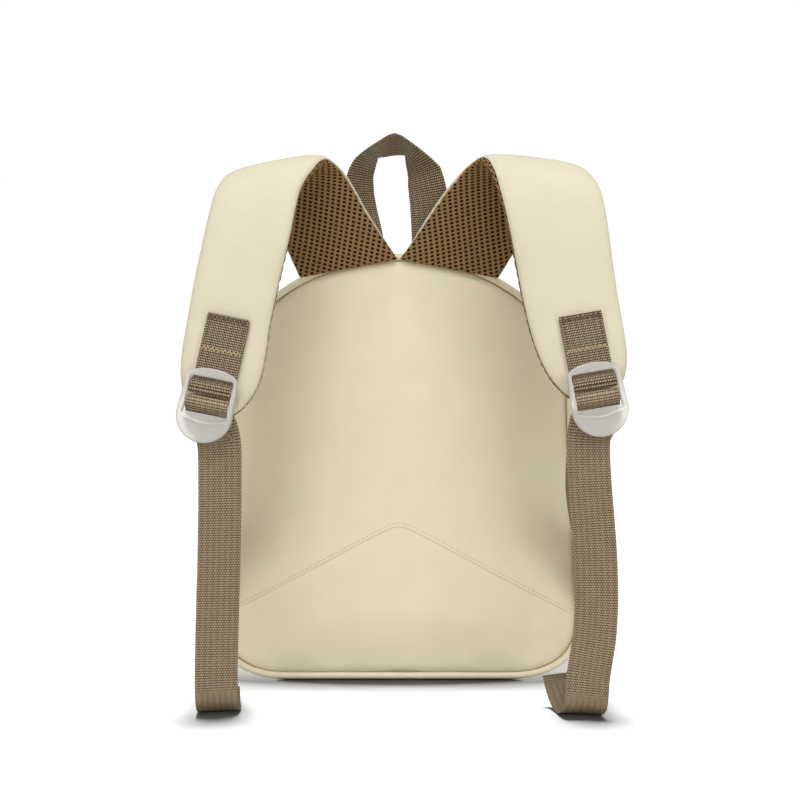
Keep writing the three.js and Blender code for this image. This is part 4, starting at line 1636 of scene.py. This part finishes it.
@dataclass
class StrapForm:
    """A shoulder strap's form, read from its CAD faces: edge lines, axes and padding in rows."""

    side: Side
    rows: int = 118
    swell: float = 3.0
    outline_points: int = 241
    west: Array = field(init=False)
    east: Array = field(init=False)
    out: Array = field(init=False)
    top: Array = field(init=False)
    bottom: Array = field(init=False)
    run: Array = field(init=False)
    row: Array = field(init=False)

    def __post_init__(self) -> None:
        """Reads both faces of the strap and resamples them."""
        cover, mesh = (self.face(f"strap_{part}_{self.side.value}") for part in ("cover", "mesh"))
        last = len(cover) - 1
        self.row = np.linspace(0, last, self.rows)
        self.west, self.east = (smooth_line((cover[:, k] + mesh[:, k]) / 2, self.row) for k in (0, STRAP_FLAT - 1))
        middle = (self.west + self.east) / 2
        self.run = run_lengths(middle)
        self.out = unit(np.cross(np.gradient(middle, axis=0), self.east - self.west))
        # Points 2 and 8 of a ring are the middles of its flat side and of its full side.
        thick = [np.linalg.norm(face[:, 8] - face[:, 2], axis=1) for face in (cover, mesh)]
        self.top, self.bottom = (np.interp(self.row, np.arange(last + 1), t) for t in thick)

    def lay(self, across: Array, bias: float) -> Array:
        """The flat cut of the strap's cloth.

        Args:
            across: Distances from the middle line towards +X in each row.
            bias: Angle in degrees from the strap's line to the grain, towards +X.

        Returns:
            Places on the flat cloth, across the grain and along it.
        """
        over, on = np.broadcast_arrays(across, self.run[:, None])
        cos, sin = math.cos(math.radians(bias)), math.sin(math.radians(bias))
        return np.stack([over * cos - on * sin, over * sin + on * cos], -1)

    @staticmethod
    def face(name: str) -> Array:
        """Rings of one CAD face, from the sewn end, that start with its flat side from west to east.

        Args:
            name: The CAD node's name.

        Returns:
            The rings.
        """
        rings = cad_rings(name, STRAP_RING)
        if rings[0, :, 1].mean() < rings[-1, :, 1].mean():
            rings = rings[::-1]
        ways = [np.roll(way, k, axis=1) for way in (rings, rings[:, ::-1]) for k in range(STRAP_RING)]
        last = STRAP_FLAT - 1
        share = (np.arange(STRAP_FLAT) / last)[None, :, None]

        def bend(way: Array) -> float:
            """How far the first points are from an even line towards +X.

            Args:
                way: The rings, turned one way.

            Returns:
                The largest distance, or infinity where they run the other way.
            """
            line = way[:, :1] * (1 - share) + way[:, last:STRAP_FLAT] * share
            turned = way[:, last, 0].mean() < way[:, 0, 0].mean()
            return math.inf if turned else float(np.abs(way[:, :STRAP_FLAT] - line).max())

        return min(ways, key=bend)

    def outline(self, k: int) -> tuple[Array, Array, Array]:
        """The strap's outline at a row, from the middle of the mesh face towards +X.

        Args:
            k: The row.

        Returns:
            Points of the outline, their heights off the middle surface, and distances along it.
        """
        angle = np.linspace(-math.pi / 2, 1.5 * math.pi, self.outline_points)
        wide = np.sign(np.cos(angle)) * np.abs(np.cos(angle)) ** (2 / self.swell)
        high = np.sign(np.sin(angle)) * np.abs(np.sin(angle)) ** (2 / self.swell)
        height = high * np.where(high > 0, self.top[k], self.bottom[k])
        middle, half = (self.west[k] + self.east[k]) / 2, (self.east[k] - self.west[k]) / 2
        points = middle + wide[:, None] * half + height[:, None] * self.out[k]
        return points, height, run_lengths(points)


@dataclass
class ShoulderStrap:
    """A padded strap: canvas over foam on the outside, knitted mesh on the wearer's side."""

    side: Side
    cover_points: int = 46
    net_points: int = 34
    chord_points: int = 5
    ditch_wide: float = 1.6
    ditch_deep: float = 0.45
    net_thick: float = 0.9
    # Angle of the left strap's mesh to the strap's line
    bias: float = 33.0
    # Where the canvas meets the mesh on the inner edge: row of the CAD loft, height off the middle
    seam_rows: tuple = (0, 6, 7.2, 8.2, 9, 11, 15, 19, 26)
    seam_heights: tuple = (-0.5, -0.5, 1.6, 2.8, 3.0, 2.8, 2.2, 1.8, 1.5)
    # Share of these heights on the left and the right strap
    seam_shares: tuple = (0.6, 1.1)
    outer_seam: float = -0.6
    # Where the seams pull to, as a share of the half width, and how far the inside keeps off the middle
    core: float = 0.9
    inside: float = 0.2

    def build(self, finishes: "Finishes") -> None:
        """Builds the canvas cover, the mesh backing and the mesh.

        Args:
            finishes: The finishes and node trees.
        """
        form = StrapForm(self.side)
        covers, carriers, layouts = [], [], []
        inner = np.interp(form.row, self.seam_rows, self.seam_heights) * self.side.pick(self.seam_shares)
        for k in range(form.rows):
            points, height, run = form.outline(k)
            top = len(run) // 2
            share = form.top[k] / form.top.max()
            heights = [inner[k] * share, self.outer_seam * share]
            east, west = heights if self.side is Side.LEFT else heights[::-1]
            start = np.interp(east, height[:top + 1], run[:top + 1])
            end = np.interp(-west, -height[top:], run[top:])
            cover = np.linspace(start, end, self.cover_points)
            net = np.linspace(end, start + run[-1], self.net_points)
            middle = (form.west[k] + form.east[k]) / 2

            def on_line(at: Array, inset: Array) -> Array:
                """Points at distances along the outline, moved in towards the strap's middle surface.

                Args:
                    at: Distances along the outline.
                    inset: How far in each point moves.

                Returns:
                    Points in the shared frame.
                """
                line = along_run(np.mod(at, run[-1]), run, points)
                half = (form.east[k] - form.west[k]) / 2
                side = ((line - middle) @ half) / (half @ half)
                core = middle + side[:, None] * half * self.core
                return line + unit(core - line) * inset[:, None]

            near = np.minimum(cover - start, end - cover)
            ditch = self.ditch_deep * (1 - near / self.ditch_wide).clip(0) ** 2
            shell = on_line(cover, ditch * share)
            chord = np.linspace(shell[-1], shell[0], self.chord_points + 2)[1:-1]
            covers.append(np.vstack([shell, chord + form.out[k] * self.inside]))
            near = np.minimum(net - end, start + run[-1] - net)
            ditch = self.ditch_deep * (1 - near / self.ditch_wide).clip(0) ** 2
            carriers.append(on_line(net, (self.net_thick + ditch) * share))
            layouts.append((cover - run[top], net - run[-1]))
        flat_cover, flat_net = (np.array(rows) for rows in zip(*layouts))
        self.build_cover(form, np.array(covers), flat_cover, finishes)
        self.build_mesh(form, np.array(carriers), flat_net, finishes)

    def build_cover(self, form: StrapForm, rings: Array, layout: Array, finishes: "Finishes") -> None:
        """Builds the canvas, swollen by the foam inside it.

        Args:
            form: The strap's form.
            rings: Rings of the cover.
            layout: Distances across the canvas in each ring.
            finishes: The finishes and node trees.
        """
        across = np.array([np.concatenate([row, np.linspace(row[-1], row[0], self.chord_points + 2)[1:-1]])
                           for row in layout])
        piece = loft(f"strap_canvas_{self.side.value}", rings, form.lay(-across, 0.0))
        sewn = np.zeros(rings.shape[:2], bool)
        sewn[:, self.cover_points:] = True
        sewn[:, [0, self.cover_points - 1]] = True
        sewn[[0, -1]] = True
        ClothRun(pressure=3.0, cap=1.2).settle(piece, np.concatenate([sewn.ravel(), [True, True]]))
        dress(piece, finishes.canvas, Slot.CANVAS, f"strap_cover_{self.side.value}")

    def build_mesh(self, form: StrapForm, skin: Array, across: Array, finishes: "Finishes") -> None:
        """Builds the backing and lays the knitted mesh on it.

        Args:
            form: The strap's form.
            skin: Rows of the backing's outer skin.
            across: Distances across the mesh in each row.
            finishes: The finishes and node trees.
        """
        chord = np.linspace(skin[:, -1], skin[:, 0], self.chord_points + 2, axis=1)[:, 1:-1]
        rings = np.concatenate([skin, chord - form.out[:, None] * self.inside], axis=1)
        flat = np.zeros(rings.shape[:2] + (2,))
        # The backing's near-black tone is painted shade, for the depth of the mesh's holes
        backing = loft(f"mesh_backing_{self.side.value}", rings, flat)
        dress(backing, finishes.backing, Slot.MESH, f"strap_mesh_{self.side.value}")
        layout = form.lay(across, self.side.pick((self.bias, -self.bias)))
        net = make_piece(f"knitted_mesh_{self.side.value}", skin, grid_faces(*skin.shape[:2]), layout)
        if net.data.polygons[self.net_points // 2].normal.dot(Vector(form.out[0])) > 0:
            net.data.flip_normals()
        cell = NetCell()
        low, high = layout.min((0, 1)), layout.max((0, 1))
        columns, rows = (int(size / step) + 2 for size, step in zip(high - low, (cell.columns, cell.holes)))
        grow(net, finishes.net, {
            "Cell": finishes.cell, "Columns": columns, "Rows": rows,
            "Wide": (columns - 1) * cell.columns * MM, "Long": (rows - 1) * cell.holes * MM,
            "Middle": (*((low + high) / 2 * MM), 0.0), "Material": finishes.mesh})
        dress(net, finishes.mesh, Slot.MESH)


@dataclass
class Buckle:
    """A ladder-lock buckle on the strap's end, with the short webbing that carries it."""

    side: Side
    wide: float = 32.4
    top: float = 15.7
    foot: float = -27.0
    tab: float = -11.0
    shoulder: tuple = (8.6, 0.8, 13.4)
    window: tuple = (25.8, 10.4, 1.5)
    back: float = -1.0
    front: float = 2.6
    # The hollow's depth and length at its ends, how far its foot bows, and the lip there
    ramp: tuple = (2.8, 2.6, 2.4, 0.5)
    # Length over which the hollow deepens, how fast, half the lip's length, and the plate left under it
    ramp_run: float = 2.2
    ramp_power: float = 0.6
    lip_half: float = 0.9
    plate: float = 0.5
    bar_reach: float = 4.9
    bar_half: tuple = (1.8, 1.1)
    bar_length: float = 29.0
    # How far behind and above the window's middle the short webbing is sewn, left and right
    sewn_depth: float = 6.2
    sewn_reaches: tuple = (46.5, 44.0)
    voxel: float = 0.42
    smoothings: int = 4

    def outline(self) -> Array:
        """The frame's outline, across and along.

        Returns:
            Pairs in millimetres.
        """
        half = self.wide / 2
        along, inset, pull = self.shoulder
        turn = np.linspace(math.pi, 2 * math.pi, 49)
        tab = np.stack([half * np.cos(turn), self.tab + (self.tab - self.foot) * np.sin(turn)], -1)
        t = np.linspace(0, 1, 25)[:, None]
        ends = np.array([[half - inset, along], [half - inset, pull], [half / 2, self.top], [0, self.top]])
        arch = ((1 - t) ** 3 * ends[0] + 3 * t * (1 - t) ** 2 * ends[1]
                + 3 * t**2 * (1 - t) * ends[2] + t**3 * ends[3])
        return np.vstack([tab, arch, arch[-2::-1] * (-1, 1)])

    def opening(self) -> Array:
        """The window's outline, across and along.

        Returns:
            Pairs in millimetres.
        """
        wide, half, radius = self.window[0] / 2, self.window[1], self.window[2]
        turn = np.linspace(0, math.pi / 2, 6)
        corner = np.stack([wide - radius + radius * np.cos(turn), half - radius + radius * np.sin(turn)], -1)
        return np.vstack([corner, corner[::-1] * (-1, 1), corner * (-1, -1), corner[::-1] * (1, -1)])

    def seat(self, webbing: Ribbon) -> Matrix:
        """The buckle's axes on its strap: across, up along the strap and out.

        Args:
            webbing: The short webbing, from its sewn end.

        Returns:
            Where the middle of the window is.
        """
        across, along = Vector(webbing.across[0]), Vector(webbing.middle[3] - webbing.middle[0]).normalized()
        if across.x < 0:
            across = -across
        up = -along
        out = across.cross(up).normalized()
        place = Vector(webbing.middle[0]) - up * self.side.pick(self.sewn_reaches) + out * self.sewn_depth
        seat = Matrix((across, up, out)).transposed().to_4x4()
        seat.translation = place * MM
        return seat

    def build(self, seat: Matrix, finishes: "Finishes") -> None:
        """Builds the buckle: frame and bars melted into one moulding, then its ramp.

        Args:
            seat: Its axes.
            finishes: The finishes and node trees.
        """
        piece = make_piece(f"frosted_buckle_{self.side.value}", np.zeros((0, 3)), [])
        with opened(piece) as work:
            loops = []
            for line in (self.outline(), self.opening()):
                verts = [work.verts.new((x, y, self.back)) for x, y in line]
                loops += [work.edges.new((verts[i], verts[(i + 1) % len(verts)])) for i in range(len(verts))]
            plate = bmesh.ops.triangle_fill(work, use_beauty=True, edges=loops)["geom"]
            faces = [item for item in plate if isinstance(item, bmesh.types.BMFace)]
            raised = bmesh.ops.extrude_face_region(work, geom=faces)["geom"]
            verts = [item for item in raised if isinstance(item, bmesh.types.BMVert)]
            bmesh.ops.translate(work, vec=(0, 0, self.front - self.back), verts=verts)
            for direction in (1, -1):
                bar = bmesh.ops.create_cone(work, cap_ends=True, segments=24, radius1=1, radius2=1,
                                            depth=self.bar_length)["verts"]
                bmesh.ops.rotate(work, verts=bar, matrix=Matrix.Rotation(math.pi / 2, 3, "Y"))
                bmesh.ops.scale(work, verts=bar, vec=(1, *self.bar_half))
                bmesh.ops.translate(work, verts=bar, vec=(0, direction * self.bar_reach, 0))
            bmesh.ops.recalc_face_normals(work, faces=work.faces)
        melt = piece.modifiers.new("Melt", "REMESH")
        melt.mode, melt.voxel_size = "VOXEL", self.voxel
        keep_result(piece, melt)
        self.finish_moulding(piece)
        piece.data.transform(seat @ Matrix.Scale(MM, 4))
        piece.data.shade_smooth()
        dress(piece, finishes.plastic, Slot.PLASTIC, f"buckle_{self.side.value}")

    def finish_moulding(self, piece: Piece) -> None:
        """Hollows the thumb ramp, whose foot is a raised arc, and rounds every edge.

        Args:
            piece: The melted buckle, in millimetres on its own axes.
        """
        deep, long, bow, lip = self.ramp
        edge = -self.window[1]
        with opened(piece) as work:
            for vert in work.verts:
                over = abs(vert.co.x) / (self.window[0] / 2)
                if over < 1 and vert.co.y < edge + 1 and vert.co.z > 0:
                    short = vert.co.y - edge + long + bow * (1 - over**2)
                    limit = self.front - deep * min(1.0, max(0.0, short / self.ramp_run)) ** self.ramp_power
                    ridge = lip * math.exp(-(short / self.lip_half) ** 2)
                    vert.co.z = max(self.back + self.plate, min(vert.co.z, limit)) + ridge
            for _ in range(self.smoothings):
                bmesh.ops.smooth_vert(work, verts=work.verts, factor=0.5,
                                      use_axis_x=True, use_axis_y=True, use_axis_z=True)


@dataclass
class StrapEnd:
    """The short webbing, the buckle and the long webbing of one strap."""

    side: Side
    zigzag: float = 2.4
    hem: float = 25.0
    # The strand behind the tail hangs a little further in than its straight line
    strand: tuple = (30.0, 158.0)
    strand_sways: tuple = (4.6, -2.2)
    # Beside the gap between the bars the webbing is too stiff to lie close on its bar
    turn: float = 4.0
    turn_fade: float = 2.0
    stand_off: float = 1.2
    end_in: float = 2.2
    # Each zigzag's distance from the webbing's end and its reach, and the lines' span and distance from the edge
    zigzag_rows: tuple = ((2.4, 1.1), (20.5, 1.0))
    box: tuple = (19.0, 4.0, 2.0)
    margin: float = 1.0
    thread_lift: float = 0.12

    def build(self, finishes: "Finishes") -> None:
        """Builds the webbing, the buckle and the stitching that holds the webbing.

        Args:
            finishes: The finishes and node trees.
        """
        # The short webbing takes the darker copy of the webbing: painted shade
        short = Ribbon(f"strap_webbing_{self.side.value}", f"short_webbing_{self.side.value}", shade_painted=True)
        buckle = Buckle(self.side)
        # The first strand is the one on the strap, further from the wearer.
        if short.middle[0, 1] <= short.middle[-1, 1]:
            short.middle, short.across, short.out = (line[::-1] for line in (short.middle, short.across, -short.out))
            short.run = short.length - short.run[::-1]
        seat = buckle.seat(short)
        buckle.build(seat, finishes)
        self.stand_clear(short, seat, 1)
        short.build(finishes)
        long = Ribbon(f"adjuster_webbing_{self.side.value}", f"long_webbing_{self.side.value}")
        long.sway(*self.strand, self.side.pick(self.strand_sways))
        self.stand_clear(long, seat, -1)
        lowest = float(long.run[np.argmin(long.middle[:, 2])])
        long.middle[:, 0] -= self.end_in * long.rise(lowest, long.length - lowest)
        long.build(finishes, (lowest - self.hem, long.length))
        self.sew(short, seat, finishes)

    def stand_clear(self, webbing: Ribbon, seat: Matrix, direction: int) -> None:
        """Moves the webbing's turn off its bar, towards the gap.

        Args:
            webbing: The webbing.
            seat: The buckle's axes.
            direction: 1 for the upper bar, -1 for the lower one.
        """
        up = np.array(seat.to_3x3().col[1])
        along = direction * ((webbing.middle - np.array(seat.translation) / MM) @ up)
        share = ((self.turn - along) / self.turn_fade).clip(0, 1)[:, None]
        webbing.middle -= direction * self.stand_off * share * up

    def sew(self, short: Ribbon, seat: Matrix, finishes: "Finishes") -> None:
        """Sews the short webbing down: a zigzag at its end, one half-way, and lines between.

        Args:
            short: The short webbing.
            seat: The buckle's axes.
            finishes: The finishes and node trees.
        """
        end, half = short.length, short.half_wide
        facing = Vector(short.out[-1]).dot(seat.to_3x3().col[2])
        lift = math.copysign(short.half_thick + self.thread_lift, facing)
        reach = half - self.margin
        count = int(4 * reach / self.zigzag)
        across = np.linspace(-reach, reach, count)
        swing = np.where(np.arange(count) % 2, 1.0, -1.0)
        rows = [short.at(np.stack([across, end - back + reach * swing], -1), lift)
                for back, reach in self.zigzag_rows]
        step = float(np.linalg.norm(np.diff(rows[0], axis=0), axis=1).mean())
        zigzag = Stitching(pitch=step / 3, length=step / 2.4, thick=0.6)
        zigzag.sew(f"end_zigzag_{self.side.value}", rows[:1], finishes.beads, finishes.dark_thread, Slot.WEBBING)
        zigzag.sew(f"bar_tack_{self.side.value}", rows[1:], finishes.beads, finishes.pale_thread, Slot.WEBBING)
        along = np.linspace(end - self.box[0], end - self.box[1], 12)
        reach = half - self.box[2]
        lines = [short.at(np.stack([np.full(len(along), x), along], -1), lift) for x in (-reach, reach)]
        Stitching(2.6, 2.0, 0.5).sew(f"box_stitches_{self.side.value}", lines, finishes.beads,
                                     finishes.dark_thread, Slot.WEBBING)


# Studio


@dataclass
class Studio:
    """White paper floor, white surroundings, soft lights and the camera.

    The surroundings look white and light the object less, as a far white wall does.
    """

    camera_at: tuple = (0.8, -1350.0, 320.0)
    camera_aim: tuple = (0.8, -50.0, 174.47)
    lens: float = 96.54
    floor_half: float = 30000.0
    white: float = 1.05
    fill: tuple = (0.24, 0.21, 0.155)
    # Name, azimuth and elevation from the object, apparent width in degrees, strength and tint of each light
    lights: tuple = (("front_softbox", -6, 52, 28, 1.42, "f2f7ff"), ("top_softbox", 180, 88, 13, 1.5, "f2f7ff"),
                     ("left_softbox", -32, 24, 28, 0.52, "f2f7ff"), ("right_softbox", 32, 24, 28, 0.86, "f2f7ff"),
                     ("paper_softbox", 180, 86.5, 10, 17.5, "ffffff"))
    # How many of these, from the first, are kept off the paper
    shielded: int = 2
    # Each small light beside the body, for the paper under its corners: name, place and target
    corner_lamps: tuple = (("left_corner_lamp", (-600, 30, 150), (-106, -14, 0)),
                           ("right_corner_lamp", (600, 30, 150), (106, -14, 0)))
    corner_power: float = 270.0
    corner_beam: float = 8.0
    corner_size: float = 40.0
    light_far: float = 2000.0
    # What stands on the paper and shades it in the light that is the paper's own
    standing: tuple = ("upper_back_cloth", "lower_back_cloth", "piping_cord", "gusset_cloth", "front_cloth",
                       "long_webbing")
    paper: bpy.types.Collection = field(init=False)
    paper_lights: list = field(init=False)

    def build(self) -> None:
        """Builds everything that isn't part of the object."""
        corners = [(x, y, -0.3) for x, y in ((-1, -1), (1, -1), (1, 1), (-1, 1))]
        floor = make_piece("paper_floor", np.array(corners) * (self.floor_half, self.floor_half, 1), [(0, 1, 2, 3)])
        floor.data.materials.append(PALE_PAPER.make())
        self.paper = bpy.data.collections.new("lit_paper")
        self.paper.objects.link(floor)
        world = bpy.data.worlds.new("white_studio")
        world.use_nodes = True
        world.node_tree.nodes.clear()
        ray = node(world.node_tree, "ShaderNodeLightPath")
        seen = blend(world.node_tree, ray.outputs["Is Camera Ray"], (*self.fill, 1), (*[self.white] * 3, 1))
        glow = node(world.node_tree, "ShaderNodeBackground", None, {"Color": seen})
        node(world.node_tree, "ShaderNodeOutputWorld", None, {"Surface": glow.outputs["Background"]})
        bpy.context.scene.world = world
        spared = bpy.data.collections.new("spared_paper")
        spared.objects.link(floor)
        spared.collection_objects[0].light_linking.link_state = "EXCLUDE"
        for index, (name, azimuth, elevation, width, power, tint) in enumerate(self.lights):
            lamp = bpy.data.lights.new(name, "SUN")
            lamp.angle, lamp.energy, lamp.color = math.radians(width), power, linear(tint)[:3]
            turn, rise = math.radians(azimuth), math.radians(elevation)
            way = (math.sin(turn) * math.cos(rise), -math.cos(turn) * math.cos(rise), math.sin(rise))
            light = self.aim(bpy.data.objects.new(name, lamp), [self.light_far * x for x in way], (0, 0, 0))
            if index < self.shielded:
                light.light_linking.receiver_collection = spared
        light.light_linking.receiver_collection = self.paper
        self.paper_lights = [light]
        for name, place, target in self.corner_lamps:
            lamp = bpy.data.lights.new(name, "SPOT")
            lamp.energy, lamp.shadow_soft_size = self.corner_power, self.corner_size * MM
            lamp.spot_size, lamp.spot_blend = math.radians(self.corner_beam), 1.0
            light = self.aim(bpy.data.objects.new(name, lamp), place, target)
            light.light_linking.receiver_collection = self.paper
            self.paper_lights.append(light)
        camera = bpy.data.cameras.new("camera")
        camera.lens, camera.sensor_width = self.lens, 36.0
        camera.clip_start, camera.clip_end = 0.05, 50.0
        bpy.context.scene.camera = self.aim(bpy.data.objects.new("camera", camera), self.camera_at, self.camera_aim)
        bpy.context.scene.view_settings.view_transform = "Standard"

    def shade_paper(self) -> None:
        """Lets what stands on the paper shade it."""
        shades = bpy.data.collections.new("standing_pieces")
        for piece in bpy.context.scene.collection.all_objects:
            if piece.name.startswith(self.standing):
                shades.objects.link(piece)
        for light in self.paper_lights:
            light.light_linking.blocker_collection = shades

    @staticmethod
    def aim(thing: Piece, place: Sequence[float], target: Sequence[float]) -> Piece:
        """Puts a light or camera somewhere, turned to a target.

        Args:
            thing: The light or camera.
            place: Its place in millimetres.
            target: What it looks at.

        Returns:
            The same light or camera.
        """
        bpy.context.scene.collection.objects.link(thing)
        thing.location = Vector(place) * MM
        thing.rotation_euler = (Vector(target) - Vector(place)).to_track_quat("-Z", "Y").to_euler()
        return thing


class Finishes:
    """Every finish as a material, and the node trees that the pieces share."""

    def __init__(self) -> None:
        """Makes the materials, the trees and the mesh's cell."""
        self.cloth = CREAM_CLOTH.make()
        self.canvas = CREAM_CANVAS.make()
        self.webbing = TAUPE_WEBBING.make()
        self.shade_painted_webbing = SHADE_PAINTED_WEBBING.make()
        self.zip_tape = CREAM_ZIP_TAPE.make()
        self.mesh = BROWN_MESH.make()
        self.backing = MESH_HOLE_SHADE_BACKING.make()
        self.thread = SHADE_DARKENED_CREAM_THREAD.make()
        self.dark_thread = TAUPE_THREAD.make()
        self.pale_thread = PALE_THREAD.make()
        self.coil = CREAM_COIL.make()
        self.plastic = FROSTED_PLASTIC.make()
        self.beads = bead_tree()
        self.net = net_tree()
        self.cell = NetCell().build()


def main() -> None:
    """Builds the studio and the backpack."""
    logging.basicConfig(level=logging.INFO)
    studio = Studio()
    studio.build()
    finishes = Finishes()
    form = GussetForm()
    for part in (BackPanel(form), Piping(form), Gusset(form), FrontPanel(form), Zip(form), GrabHandle()):
        part.build(finishes)
    for side in Side:
        ShoulderStrap(side).build(finishes)
        StrapEnd(side).build(finishes)
    studio.shade_paper()


if __name__ == "__main__":
    main()
